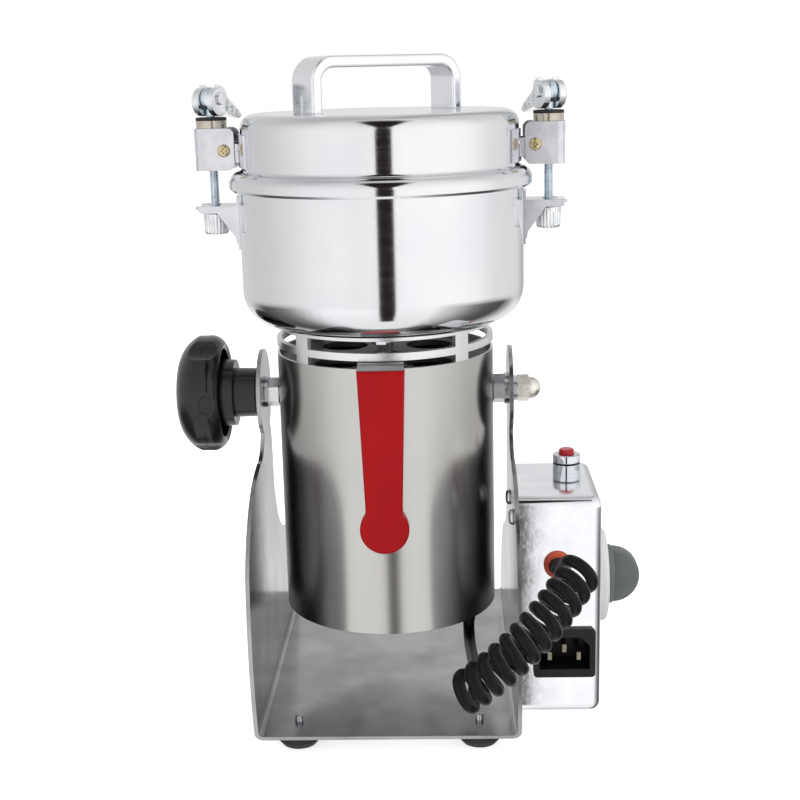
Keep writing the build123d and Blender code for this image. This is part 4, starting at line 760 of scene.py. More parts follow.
@dataclass
class Studio:
    """The white tent, its slit, the table, the lamps and the camera.

    Attributes:
        eye: The camera's place in metres.
        turn: Its turn to the left, its fall below level and its roll, in radians.
        sensor: Width of the sensor.
        lens: Focal length.
        near: Distance in metres from which the camera sees.
        slit_left: The slit's left edge, in millimetres on the machine's axes.
        slit_right: Its right edge.
        slit_front: How far before the machine it is.
        slit_foot: Its lower edge.
        slit_height: Where the cloth over it begins.
        cloth_top: Height, distance and half width of the far end of that cloth.
        crisp: Share of the slit's half width over which its edges thin out.
        soft: The same at the far end of the cloth.
        fade: Share of the cloth's length over which it thins out at its far end.
        card_steps: How many rows and columns a card has.
        floor_reach: How far the paper goes each way, in metres.
        floor_drop: How far the paper lies under the feet, in metres.
        lamp_aim: The point in metres that the lamps face.
        lit: Strength of the tent's light on matt surfaces.
        paper_tone: The paper's sRGB colour.
        paper_rough: Its roughness.
        paper_gloss: Strength of its clear reflection.
        lifted: How much brighter the paper is where it is seen.
        table_edge: Heights of a direction where the wall's tones end and where the table's begin.
    """

    eye: Point = (0.0194, -0.6921, 0.320)
    turn: Point = (0.034, 0.236, 0.024)
    sensor: float = 36.0
    lens: float = 62.15
    near: float = 0.01
    slit_left: float = -12.0
    slit_right: float = 99.0
    slit_front: float = -494.0
    slit_foot: float = -400.0
    slit_height: float = 520.0
    cloth_top: Point = (1400.0, -120.0, 430.0)
    crisp: float = 0.1
    soft: float = 0.9
    fade: float = 0.5
    card_steps: int = 40
    floor_reach: float = 6.0
    floor_drop: float = 0.0004
    lamp_aim: Point = (0.0, 0.0, 0.17)
    lit: float = 0.56
    paper_tone: str = "#F2F2F2"
    paper_rough: float = 0.9
    paper_gloss: float = 0.1
    lifted: float = 0.72
    table_edge: tuple[float, float] = (-0.2, -0.36)

    def build(self) -> None:
        """Sets up the camera, the table, the slit, the lamps and the tent's light."""
        self.camera()
        self.table()
        self.cards()
        for name, where, size, power in SOFT_LAMPS:
            self.lamp(name, where, size, power)
        self.tent()

    def camera(self) -> None:
        """Puts the camera where the photograph was taken."""
        data = bpy.data.cameras.new("camera")
        data.sensor_width = self.sensor
        data.lens = self.lens
        data.clip_start = self.near
        camera = linked("camera", data)
        heading, fall, roll = self.turn
        camera.matrix_world = (
            Matrix.Translation(self.eye)
            @ Matrix.Rotation(heading, 4, "Z")
            @ Matrix.Rotation(math.pi / 2 - fall, 4, "X")
            @ Matrix.Rotation(-roll, 4, "Z")
        )
        bpy.context.scene.camera = camera

    def seen_by_eye_or_gloss(self, tree: bpy.types.NodeTree) -> bpy.types.NodeSocket:
        """Adds the share of rays that see the background: camera, mirror and clear ones.

        Args:
            tree: The node tree that gets the nodes.

        Returns:
            The socket with the share.
        """
        rays = add_node(tree, "ShaderNodeLightPath")
        first = add_node(
            tree,
            "ShaderNodeMath",
            {"operation": "ADD"},
            {0: rays.outputs["Is Camera Ray"], 1: rays.outputs["Is Glossy Ray"]},
        )
        both = add_node(
            tree,
            "ShaderNodeMath",
            {"operation": "ADD", "use_clamp": True},
            {0: first.outputs["Value"], 1: rays.outputs["Is Transmission Ray"]},
        )
        return both.outputs["Value"]

    def table(self) -> None:
        """Lays the white paper: it keeps the shadow and is lifted to white where it is seen."""
        reach = self.floor_reach
        corners = [(-reach, -reach, 0), (reach, -reach, 0), (reach, reach, 0), (-reach, reach, 0)]
        mesh = skin("white_paper", [Vector(c) for c in corners], [(0, 1, 2, 3)])
        paper = linked("white_paper", mesh)
        paper.location.z = -self.floor_drop
        material = bpy.data.materials.new("matt_white_paper")
        material.use_nodes = True
        tree = material.node_tree
        shader = tree.nodes["Principled BSDF"]
        shader.inputs["Base Color"].default_value = linear(self.paper_tone)
        shader.inputs["Roughness"].default_value = self.paper_rough
        shader.inputs["Specular IOR Level"].default_value = self.paper_gloss
        shader.inputs["Emission Color"].default_value = (1.0, 1.0, 1.0, 1.0)
        lift = add_node(
            tree,
            "ShaderNodeMath",
            {"operation": "MULTIPLY", 1: self.lifted},
            {0: self.seen_by_eye_or_gloss(tree)},
        )
        tree.links.new(lift.outputs["Value"], shader.inputs["Emission Strength"])
        mesh.materials.append(material)
        paper.visible_glossy = False

    def cards(self) -> None:
        """Hangs the dark slit that the camera looks through and the cloth that goes up from it."""
        left, right, front = self.slit_left, self.slit_right, self.slit_front
        low, high = self.slit_foot, self.slit_height
        slit = [(left, front, low), (right, front, low), (right, front, high), (left, front, high)]
        self.card("tent_slit", slit, (self.crisp, self.crisp), False)
        top, back, half = self.cloth_top
        middle = (left + right) / 2
        far = [(middle + half, back, top), (middle - half, back, top)]
        cloth = [(left, front, high), (right, front, high), *far]
        self.card("tent_seam", cloth, (self.crisp, self.soft), True)

    def card(self, name: str, corners: Sequence[Point], soft: tuple[float, float], ends: bool) -> None:
        """Hangs one dark card that only mirrors show, thinning out towards its sides.

        Args:
            name: Its name.
            corners: Its corners in order, in millimetres on the machine's axes.
            soft: Share of its half width that thins out at its first and at its last edge.
            ends: Whether it also thins out towards its last edge.
        """
        low_left, low_right, high_right, high_left = (place(*corner) for corner in corners)
        count = self.card_steps
        points, cover = [], []
        for row in range(count + 1):
            rise = row / count
            left, right = low_left.lerp(high_left, rise), low_right.lerp(high_right, rise)
            edge = soft[0] + (soft[1] - soft[0]) * rise
            for column in range(count + 1):
                share = column / count
                points.append(left.lerp(right, share))
                inside = min(1.0, (1 - abs(2 * share - 1)) / edge)
                inside *= min(1.0, (1 - rise) / self.fade) if ends else 1.0
                cover.append(inside * inside * (3 - 2 * inside))
        faces = []
        for row in range(count):
            for column in range(count):
                first = row * (count + 1) + column
                faces.append((first, first + 1, first + count + 2, first + count + 1))
        mesh = skin(name, points, faces)
        mesh.attributes.new("cover", "FLOAT", "POINT").data.foreach_set("value", cover)
        card = linked(name, mesh)
        card.visible_camera = False
        card.visible_diffuse = False
        card.visible_shadow = False
        card.visible_transmission = False
        mesh.materials.append(self.black_cloth())

    def black_cloth(self) -> bpy.types.Material:
        """Makes the cards' cloth once.

        Returns:
            The material, the same one each time.
        """
        ready = bpy.data.materials.get("black_cloth")
        if ready is not None:
            return ready
        material = bpy.data.materials.new("black_cloth")
        material.use_nodes = True
        shader = material.node_tree.nodes["Principled BSDF"]
        cover = add_node(material.node_tree, "ShaderNodeAttribute", {"attribute_name": "cover"})
        material.node_tree.links.new(cover.outputs["Fac"], shader.inputs["Alpha"])
        shader.inputs["Base Color"].default_value = linear("#2A2422")
        shader.inputs["Roughness"].default_value = 1.0
        shader.inputs["Specular IOR Level"].default_value = 0.0
        return material

    def lamp(self, name: str, where: Point, size: float, power: float) -> None:
        """Hangs one square soft lamp that faces the machine.

        Args:
            name: Its name.
            where: Its place in metres.
            size: The length of its side.
            power: Its power in watts.
        """
        data = bpy.data.lights.new(name, "AREA")
        data.shape = "SQUARE"
        data.size = size
        data.energy = power
        lamp = linked(name, data)
        aim = Vector(self.lamp_aim) - Vector(where)
        lamp.matrix_world = Matrix.Translation(where) @ aim.to_track_quat("-Z", "Y").to_matrix().to_4x4()
        lamp.visible_glossy = False

    def tent(self) -> None:
        """Lights the tent: brightest to the right of the camera, greyer behind, overhead and low down."""
        world = bpy.data.worlds.new("white_tent")
        world.use_nodes = True
        bpy.context.scene.world = world
        tree = world.node_tree
        tree.nodes.clear()
        source = add_node(tree, "ShaderNodeTexCoord")
        parts = add_node(tree, "ShaderNodeSeparateXYZ", links={"Vector": source.outputs["Generated"]})
        ahead = add_node(
            tree, "ShaderNodeMath", {"operation": "MULTIPLY", 1: -1.0}, {0: parts.outputs["Y"]}
        )
        bearing = add_node(
            tree,
            "ShaderNodeMath",
            {"operation": "ARCTAN2"},
            {0: parts.outputs["X"], 1: ahead.outputs["Value"]},
        )
        degrees = add_node(
            tree,
            "ShaderNodeMath",
            {"operation": "MULTIPLY", 1: 180 / math.pi},
            {0: bearing.outputs["Value"]},
        )
        level = self.tone(tree, degrees.outputs["Value"], WALL_TONES)
        low = self.tone(tree, degrees.outputs["Value"], FLOOR_TONES)
        high = self.tone(tree, parts.outputs["Z"], CEILING_TONES)
        wall_end, table_start = self.table_edge
        fall = add_node(
            tree,
            "ShaderNodeMapRange",
            {"interpolation_type": "SMOOTHSTEP", "From Min": wall_end, "From Max": table_start},
            {"Value": parts.outputs["Z"]},
        )
        sides = add_node(
            tree,
            "ShaderNodeMix",
            {"data_type": "FLOAT"},
            {0: fall.outputs["Result"], 2: level, 3: low},
        )
        whole = add_node(
            tree, "ShaderNodeMath", {"operation": "MULTIPLY"}, {0: sides.outputs[0], 1: high}
        )
        mirrored = add_node(
            tree,
            "ShaderNodeBackground",
            {"Color": linear("#FFFFFF")},
            {"Strength": whole.outputs["Value"]},
        )
        plain = add_node(tree, "ShaderNodeBackground", {"Color": linear("#FFFFFF"), "Strength": 1.0})
        lit = add_node(tree, "ShaderNodeBackground", {"Color": linear("#FFFFFF"), "Strength": self.lit})
        rays = add_node(tree, "ShaderNodeLightPath")
        gloss = add_node(
            tree,
            "ShaderNodeMath",
            {"operation": "ADD", "use_clamp": True},
            {0: rays.outputs["Is Glossy Ray"], 1: rays.outputs["Is Transmission Ray"]},
        )
        first = add_node(
            tree,
            "ShaderNodeMixShader",
            links={0: rays.outputs["Is Camera Ray"], 1: lit.outputs[0], 2: plain.outputs[0]},
        )
        second = add_node(
            tree,
            "ShaderNodeMixShader",
            links={0: gloss.outputs["Value"], 1: first.outputs[0], 2: mirrored.outputs[0]},
        )
        add_node(tree, "ShaderNodeOutputWorld", links={"Surface": second.outputs[0]})

    def tone(
        self,
        tree: bpy.types.NodeTree,
        along: bpy.types.NodeSocket,
        stops: Sequence[tuple[float, float]],
    ) -> bpy.types.NodeSocket:
        """Maps a bearing or a height to a brightness.

        Args:
            tree: The world's node tree.
            along: The bearing in degrees, or the height of a direction.
            stops: Place and brightness of each stop, in order.

        Returns:
            The socket with the brightness.
        """
        start, end = stops[0][0], stops[-1][0]
        share = add_node(tree, "ShaderNodeMapRange", {"From Min": start, "From Max": end}, {"Value": along})
        curve = add_node(tree, "ShaderNodeFloatCurve", links={"Value": share.outputs["Result"]})
        line = curve.mapping.curves[0]
        line.points[0].location = (0.0, stops[0][1] / BRIGHTEST)
        line.points[1].location = (1.0, stops[-1][1] / BRIGHTEST)
        for where, level in stops[1:-1]:
            line.points.new((where - start) / (end - start), level / BRIGHTEST)
        for point in line.points:
            point.handle_type = "VECTOR"
        curve.mapping.update()
        raised = add_node(
            tree, "ShaderNodeMath", {"operation": "MULTIPLY", 1: BRIGHTEST}, {0: curve.outputs["Value"]}
        )
        return raised.outputs["Value"]


@dataclass
class CurledCord:
    """The curled cord from the switch box, and its plain end that goes up into the motor.

    Attributes:
        radius: The cord's own radius.
        curl: Radius of the curls' centre line.
        turns: How many curls it has.
        per_turn: Control points in one curl.
        exit: Where it leaves the grommet.
        straight: How far it runs straight on before it curls.
        guide: The four Bezier points of the line that the curls wind round.
        guide_steps: Points worked out on that line.
        lead_out: How far it runs straight on after its last curl.
        lead: The route of the plain end.
        end: Where it ends inside the motor's gland.
        length: Its real length.
        line_steps: Points drawn between two control points.
        round_steps: Smoothness of its round section.
        sleeve_length: Length of the tapered sleeve at either end.
        sleeve_radius: Radius of a sleeve's thick end.
        sleeve_ridges: How far its outline stands in from the thick end, by shares of its length.
        sleeve_taper: How far its outline stands out from the thin end, by the same.
        sleeve_wall: Wall of its thin end.
        sleeve_sides: Faces round it.
        box_sleeve: Where the sleeve at the switch box starts.
        box_heading: The direction in which it tapers.
        gland_sleeve: Where the sleeve at the motor starts.
        gland_heading: The direction in which that one tapers.
    """

    radius: float = 2.9
    curl: float = 7.5
    turns: float = 11.5
    per_turn: int = 14
    exit: Point = (82.3, -57.5, 87.0)
    straight: float = 7.8
    guide: tuple[Point, ...] = (
        (91.2, -80.0, 92.8),
        (77.5, -97.0, 77.5),
        (59.0, -109.0, 60.5),
        (35.8, -104.5, 43.0),
    )
    guide_steps: int = 400
    lead_out: float = 8.0
    lead: tuple[Point, ...] = (
        (42.0, -84.0, 42.6),
        (41.7, -62.0, 38.6),
        (40.7, -40.0, 36.2),
        (40.2, -29.0, 36.8),
        (40.0, -20.6, 42.0),
    )
    end: Point = (40.0, -20.0, 50.5)
    length: float = 660.9
    line_steps: int = 12
    round_steps: int = 5
    sleeve_length: float = 6.4
    sleeve_radius: float = 4.4
    sleeve_ridges: Outline = ((0.0, 0.0), (0.0, 0.18), (0.35, 0.24), (0.35, 0.38), (0.7, 0.44), (0.7, 0.58))
    sleeve_taper: Outline = ((0.3, 0.66), (0.1, 1.0))
    sleeve_wall: float = 0.25
    sleeve_sides: int = 36
    box_sleeve: Point = (82.3, -58.6, 87.0)
    box_heading: Point = (0.0, -1.0, 0.0)
    gland_sleeve: Point = (40.0, -20.0, 50.2)
    gland_heading: Point = (0.0, -0.05, -1.0)

    def build(self) -> None:
        line = self.spline("cord_line", self.control_points())
        path = self.sampled(line)
        line.data.bevel_depth = self.radius * MM
        line.data.bevel_resolution = self.round_steps
        line.data.use_fill_caps = True
        mesh = bpy.data.meshes.new_from_object(line)
        bpy.data.objects.remove(line)
        mesh.polygons.foreach_set("use_smooth", [True] * len(mesh.polygons))
        mesh.materials.clear()
        mesh.materials.append(CORD_PVC.material())
        cord = linked("curled_cord", mesh)
        # Keeps the plated box and stand behind it bright
        cord.visible_glossy = False
        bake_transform(cord)
        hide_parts("curly_cord", "motor_lead")
        run = sum((b - a).length for a, b in zip(path, path[1:]))
        log.info("cord's line is %.1f mm long, of %.1f mm", run / MM, self.length)
        self.sleeve("box_cord_sleeve", "stand", self.box_sleeve, Vector(self.box_heading))
        self.sleeve("gland_cord_sleeve", "swing_unit", self.gland_sleeve, Vector(self.gland_heading))

    def sleeve(self, name: str, body: str, base: Point, heading: Vector) -> None:
        """Adds the short tapered sleeve that keeps the cord from kinking where it leaves a housing.

        Args:
            name: The sleeve's name.
            body: The body that carries it.
            base: The middle of its thick end.
            heading: The direction in which it tapers.
        """
        rise = self.sleeve_length
        thin = self.radius + self.sleeve_wall
        outline = [(self.radius, 0.0)]
        outline += [(self.sleeve_radius - inset, rise * share) for inset, share in self.sleeve_ridges]
        outline += [(thin + over, rise * share) for over, share in self.sleeve_taper]
        outline += [(self.radius, rise), (self.radius, 0.0)]
        mesh = joined([turned_mesh(outline, self.sleeve_sides)], [facing(place(*base), heading)])
        piece(name, mesh, body, FOOT_RUBBER)

    def control_points(self) -> list[Vector]:
        """The control points of the cord's own spline, from the grommet to the gland.

        Returns:
            Points in the scene's metres.
        """
        first, second, third, last = (place(*p) for p in self.guide)
        guide = interpolate_bezier(first, second, third, last, self.guide_steps)
        reach = [0.0]
        for a, b in zip(guide, guide[1:]):
            reach.append(reach[-1] + (b - a).length)
        start = place(*self.exit)
        straight = start + Vector((0, -self.straight * MM, 0))
        points = [start, straight]
        count = int(self.turns * self.per_turn)
        points += [self.wound(guide, reach, index / count) for index in range(count + 1)]
        heading = (points[-1] - points[-2]).normalized()
        points.append(points[-1] + heading * self.lead_out * MM)
        points += [place(*p) for p in self.lead]
        points.append(place(*self.end))
        return points

    def wound(self, guide: Sequence[Vector], reach: Sequence[float], share: float) -> Vector:
        """A point of the helix round the guide.

        Args:
            guide: Points of the guide line.
            reach: Distance along it of each point.
            share: How far along it, from 0 to 1.

        Returns:
            The point of the helix.
        """
        target = share * reach[-1]
        index = next(i for i in range(len(reach) - 1) if reach[i + 1] >= target - ROUNDING)
        step = (target - reach[index]) / (reach[index + 1] - reach[index])
        middle = guide[index].lerp(guide[index + 1], step)
        ahead = guide[min(index + 2, len(guide) - 1)]
        behind = guide[max(index - 1, 0)]
        axis = (ahead - behind).normalized()
        across = (Vector((1, 0, 0)) - axis * axis.x).normalized()
        upward = axis.cross(across)
        angle = math.pi - 2 * math.pi * self.turns * share
        # The spline cuts inside its control points, so they stand out by that much
        reached = self.curl / math.cos(math.pi / self.per_turn) * MM
        return middle + (across * math.cos(angle) + upward * math.sin(angle)) * reached

    def spline(self, name: str, points: Sequence[Vector]) -> bpy.types.Object:
        """Makes a smooth curve with these control points.

        Args:
            name: The curve's name.
            points: Its control points.

        Returns:
            The curve object.
        """
        curve = bpy.data.curves.new(name, "CURVE")
        curve.dimensions = "3D"
        curve.resolution_u = self.line_steps
        spline = curve.splines.new("NURBS")
        spline.points.add(len(points) - 1)
        for slot, point in zip(spline.points, points):
            slot.co = (*point, 1.0)
        spline.order_u = 3
        spline.use_endpoint_u = True
        spline.resolution_u = self.line_steps
        thing = linked(name, curve)
        bpy.context.view_layer.update()
        return thing

    def sampled(self, line: bpy.types.Object) -> list[Vector]:
        """Reads the points of a curve's own line.

        Args:
            line: The curve object.

        Returns:
            Its points in order, in metres.
        """
        mesh = bpy.data.meshes.new_from_object(line)
        points = [vertex.co.copy() for vertex in mesh.vertices]
        bpy.data.meshes.remove(mesh)
        return points


@dataclass
class PanScrew:
    """A pan-head screw with a cross recess and a rolled thread.

    Attributes:
        head: Radius of the head.
        rise: Height of the head.
        shank: Radius over the thread.
        length: Length under the head.
        pitch: Rise of the thread per turn.
        depth: Height of the thread.
        rooted: How far the thread reaches up into the head.
        cross: Width over the recess.
        slot: Width of one arm of the recess, as a share of that.
        sunk: Depth of the recess, as a share of the head's height.
        foot: Radius of the head's underside, as a share of its radius.
        skirt: Height of the dome, as a share of the head's.
        shoulder: Power that rounds the dome's shoulder.
        crown: Radius at the dome's middle, as a share of the head's, before that power.
        dome_steps: Faces from the dome's foot to its middle.
        sides: Faces round the head.
    """

    head: float = 3.9
    rise: float = 2.2
    shank: float = 2.0
    length: float = 13.6
    pitch: float = 0.7
    depth: float = 0.32
    rooted: float = 0.2
    cross: float = 3.6
    slot: float = 0.24
    sunk: float = 0.62
    foot: float = 0.94
    skirt: float = 0.88
    shoulder: float = 0.55
    crown: float = 0.0003
    dome_steps: int = 8
    sides: int = 40

    def mesh(self) -> bpy.types.Mesh:
        """Builds the screw, its head's top at the origin and facing up, its thread below.

        Returns:
            The mesh, in metres, on its own axis.
        """
        under = -self.rise
        outline = [(ON_AXIS, under), (self.head * self.foot, under), (self.head, under * self.skirt)]
        for step in range(1, self.dome_steps + 1):
            turn = math.pi / 2 * step / self.dome_steps
            reach = self.head * max(self.crown, math.cos(turn)) ** self.shoulder
            outline.append((reach, under * (self.skirt - self.skirt * math.sin(turn))))
        outline.append((ON_AXIS, 0.0))
        blank = turned_mesh(outline, self.sides)
        head = cross_cut(blank, 0.0, self.cross, self.cross * self.slot, self.rise * self.sunk)
        tip, root = under - self.length, under + self.rooted
        thread = threaded_mesh(self.shank, tip, root, self.pitch, self.depth)
        return joined([head, thread], [Matrix.Identity(4)] * 2)


@dataclass
class Stand:
    """The bent sheet stand with its feet and screws.

    Attributes:
        feet: Place of each foot, as x and y.
        foot_head: Height of the outer face of the foot screws' heads.
        box_screws: Place of each screw of the switch box on the arm, as y and z.
        arm_inner: Distance of the arm's inner face from the machine's axis.
        foot_screw: The screw of a foot.
        box_screw: The screw of the switch box.
    """

    feet: tuple[tuple[float, float], ...] = ((-44.0, -65.0), (44.0, -65.0), (-44.0, 90.0), (44.0, 90.0))
    foot_head: float = 1.2
    box_screws: tuple[tuple[float, float], ...] = ((-47.1, 108.0), (-47.1, 23.5), (-15.0, 108.0))
    arm_inner: float = 61.6
    foot_screw: PanScrew = field(default_factory=lambda: PanScrew(length=10.4))
    box_screw: PanScrew = field(default_factory=lambda: PanScrew(length=7.0))

    def build(self) -> None:
        """Dresses the sheet and the feet and puts in real screws."""
        node("stand_bracket", SHEET_STEEL)
        node("rubber_feet", FOOT_RUBBER)
        under = [facing(place(x, y, self.foot_head), Vector((0, 0, -1))) for x, y in self.feet]
        mesh = joined([self.foot_screw.mesh()] * len(under), under)
        piece("threaded_foot_screws", mesh, "stand", PLAIN_ZINC)
        head_face = self.arm_inner - self.box_screw.rise
        inside = [facing(place(head_face, y, z), Vector((-1, 0, 0))) for y, z in self.box_screws]
        mesh = joined([self.box_screw.mesh()] * len(inside), inside)
        made = piece("threaded_box_screws", mesh, "stand", LATCH_STEEL)
        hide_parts("stand_screws")


@dataclass
class SwitchBox:
    """The plated switch box with its inlet, timer, reset switch and grommet.

    Attributes:
        dial_face: Distance of the dial's face from the axis.
        timer: The timer's place on the box's side, as y and z.
        marks: How many marks the dial has.
        mark_in: Radius of their inner ends.
        mark_out: Radius of their outer ends.
        mark_half: Half the width of a mark.
        bold_half: Half the width of a bold mark.
        bold_more: How much further in a bold mark begins.
        bold_every: How many marks there are from one bold one to the next.
        first_mark: Bearing of the first mark in degrees.
        sweep: Degrees from the first mark to the last.
        ink: Half the thickness of the print.
        reset: The reset switch's place on the box's top, as x and y.
        top: Height of the box's top.
        bezel_outline: Section of the bezel with its flange and groove, from the box's top.
        body_outline: Section of the switch's body under it.
        groove_shade_ring_outline: Section of the black ring in the groove, painted shade that darkens the
            groove.
        bezel_sides: Faces round the bezel.
        body_sides: Faces round the switch's body.
    """

    dial_face: float = 109.1
    timer: tuple[float, float] = (-22.0, 69.0)
    marks: int = 11
    mark_in: float = 16.4
    mark_out: float = 19.6
    mark_half: float = 0.3
    bold_half: float = 0.55
    bold_more: float = 0.8
    bold_every: int = 5
    first_mark: float = -60
    sweep: float = 300
    ink: float = 0.03
    reset: tuple[float, float] = (90.5, -10.0)
    top: float = 120.0
    bezel_outline: Outline = (
        (3.9, -4.4), (8.0, -4.4), (8.0, -1.5), (5.5, -1.5), (5.5, 0.0), (7.0, 0.0), (7.0, 4.1),
        (6.2, 4.15), (6.2, 5.05), (7.0, 5.15), (7.0, 8.2), (6.76, 8.76), (6.2, 9.0), (4.6, 9.0),
        (4.2, 8.8), (3.9, 8.2), (3.9, -4.4),
    )
    body_outline: Outline = (
        (ON_AXIS, -19.5), (7.4, -19.5), (8.0, -19.0), (8.0, -4.4), (ON_AXIS, -4.4),
    )
    # Painted shade: a black ring that darkens the bezel's groove
    groove_shade_ring_outline: Outline = ((6.1, 4.2), (6.6, 4.2), (6.72, 4.6), (6.6, 5.0), (6.1, 5.0), (6.1, 4.2))
    bezel_sides: int = 56
    body_sides: int = 40

    def build(self) -> None:
        """Dresses the box and adds the dial's marks and the grooved bezel."""
        node("switch_box", CHROME_SHEET)
        node("power_inlet", BLACK_NYLON)
        node("inlet_pins", PIN_BRASS)
        node("cord_grommet", ORANGE_SILICONE)
        node("timer_unit", BLACK_NYLON)
        node("timer_dial", WHITE_ABS)
        node("timer_knob", GREY_ABS)
        node("timer_shaft", PLAIN_ZINC)
        node("reset_button", RED_ACRYLIC)
        self.bezel()
        self.dial_marks()

    def bezel(self) -> None:
        """Turns the reset switch's bezel with its groove, over the sleeve and body."""
        x, y = self.reset
        where = Matrix.Translation(place(x, y, self.top))
        bezel = turned_mesh(self.bezel_outline, self.bezel_sides)
        body = turned_mesh(self.body_outline, self.body_sides)
        made = piece("reset_bezel", joined([bezel, body], [where] * 2), "stand", CHROME)
        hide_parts("reset_switch")
        # The black ring in the groove is painted shade: a dark ring put where the groove's shadow falls, to
        # darken it
        groove_shade_ring = turned_mesh(self.groove_shade_ring_outline, self.bezel_sides)
        piece("bezel_groove_shade_ring", joined([groove_shade_ring], [where]), "stand", FOOT_RUBBER)

    def dial_marks(self) -> None:
        """Prints a plain scale round the dial, over three quarters of a turn."""
        y, z = self.timer
        points: list[Vector] = []
        faces: list[tuple[int, ...]] = []
        for index in range(self.marks):
            angle = math.radians(self.first_mark + self.sweep * index / (self.marks - 1))
            bold = index % self.bold_every == 0
            wide = self.bold_half if bold else self.mark_half
            inner = self.mark_in - (self.bold_more if bold else 0.0)
            out = Vector((0, math.cos(angle), math.sin(angle)))
            side = Vector((0, -math.sin(angle), math.cos(angle)))
            start = len(points)
            for level in (-self.ink, self.ink):
                for reach, sway in ((inner, -1), (self.mark_out, -1), (self.mark_out, 1), (inner, 1)):
                    middle = place(self.dial_face + level, y, z)
                    points.append(middle + (out * reach + side * sway * wide) * MM)
            faces += [tuple(range(start + 4, start + 8)), tuple(range(start + 3, start - 1, -1))]
            for i in range(4):
                j = (i + 1) % 4
                faces.append((start + i, start + j, start + 4 + j, start + 4 + i))
        piece("dial_marks", skin("marks", points, faces), "stand", PRINT_INK)


@dataclass
class MotorUnit:
    """The can with its ring, grip, pivots and the motor inside."""

    def build(self) -> None:
        """Dresses everything that swings under the bowl."""
        for name, finish in {
            "motor_can": CAN_STEEL,
            "can_base": RING_STEEL,
            "lead_gland": FOOT_RUBBER,
            "vent_ring": RING_STEEL,
            "grip_strap": SHEET_STEEL,
            "grip_sleeve": RED_PVC,
            "pivot_bolts": PLAIN_ZINC,
            "pivot_nuts": PLAIN_ZINC,
            "pivot_washers": PLAIN_ZINC,
            "acorn_nut": CAP_NUT,
            # The end plates' colour is darkened as painted shade, for the dark inside of the can
            "motor_plates": SHADED_CAST_ALLOY,
            "motor_bearings": CHROME,
            "motor_stator": CORE_STEEL,
            "carbon_brushes": BLACK_NYLON,
            "motor_shaft": BLADE_STEEL,
            "rotor_core": CORE_STEEL,
            "commutator": COPPER,
            "cooling_fan": BLACK_NYLON,
        }.items():
            node(name, finish)


@dataclass
class ClampWheel:
    """The black hand wheel and its washer on the left arm.

    Attributes:
        neck_face: Distance from the machine's axis to the end of the wheel's neck.
        axis_z: Height of the wheel's axis.
        back: Distance from the neck's end to the hollow side of the rim.
        scallops: How many scallops the rim has.
        scallop: Radius of a scallop.
        scallop_reach: Distance from the wheel's axis to a scallop's.
        lobe: Radius that the lining keeps inside the rim's lobes.
        under: How far the lining lies under a scallop.
        inner: Radius of the lining's inner face.
        outer: Radius from which it follows the scallops.
        shoulder: How far out from its inner face its ends begin to fall away.
        low: Where the lining starts, from the hollow side.
        high: Where it ends.
        low_slopes: Rise of its lower end to the shoulder and to the outer face.
        high_slopes: Fall of its upper end to the same.
        steps: Faces round the lining.
    """

    neck_face: float = 65.65
    axis_z: float = 161.0
    back: float = 16.0
    scallops: int = 6
    scallop: float = 20.0
    scallop_reach: float = 47.3
    lobe: float = 28.2
    under: float = 0.04
    inner: float = 25.9
    outer: float = 27.2
    shoulder: float = 1.0
    low: float = 2.0
    high: float = 11.2
    low_slopes: tuple[float, float] = (1.1, 1.5)
    high_slopes: tuple[float, float] = (1.0, 1.4)
    steps: int = 180

    def build(self) -> None:
        """Dresses the wheel and its washer and lines the hollow behind the scallops."""
        node("hand_wheel", BLACK_PHENOLIC)
        node("clamp_washer", BLACK_NYLON)
        low, high = self.back + self.low, self.back + self.high
        inner, outer, shoulder = self.inner, self.outer, self.inner + self.shoulder
        rise, whole_rise = self.low_slopes
        fall, whole_fall = self.high_slopes
        outline = [
            (inner, low), (shoulder, low + rise), (outer, low + whole_rise), (outer, high - whole_fall),
            (shoulder, high - fall), (inner, high), (inner, low),
        ]
        lining = turned_mesh(outline, self.steps, self.under_scallops)
        origin = Matrix.Translation(place(-self.neck_face, 0, self.axis_z))
        lining.transform(origin @ Matrix.Rotation(-math.pi / 2, 4, "Y"))
        piece("wheel_rim_lining", lining, "hand_wheel", BLACK_PHENOLIC)

    def under_scallops(self, angle: float, radius: float, height: float) -> float:
        """Lays the lining's outer face close under the rim's scallops.

        Args:
            angle: Angle round the wheel.
            radius: Radius of the outline's point.
            height: Its height, which plays no part.

        Returns:
            The radius of the lining at this angle.
        """
        if radius < self.outer:
            return radius
        pitch = 2 * math.pi / self.scallops
        offset = angle % pitch - pitch / 2
        side = self.scallop_reach * math.sin(offset)
        if abs(side) >= self.scallop:
            return self.lobe
        depth = self.scallop_reach * math.cos(offset) - math.sqrt(self.scallop**2 - side**2)
        return min(self.lobe, depth - self.under)


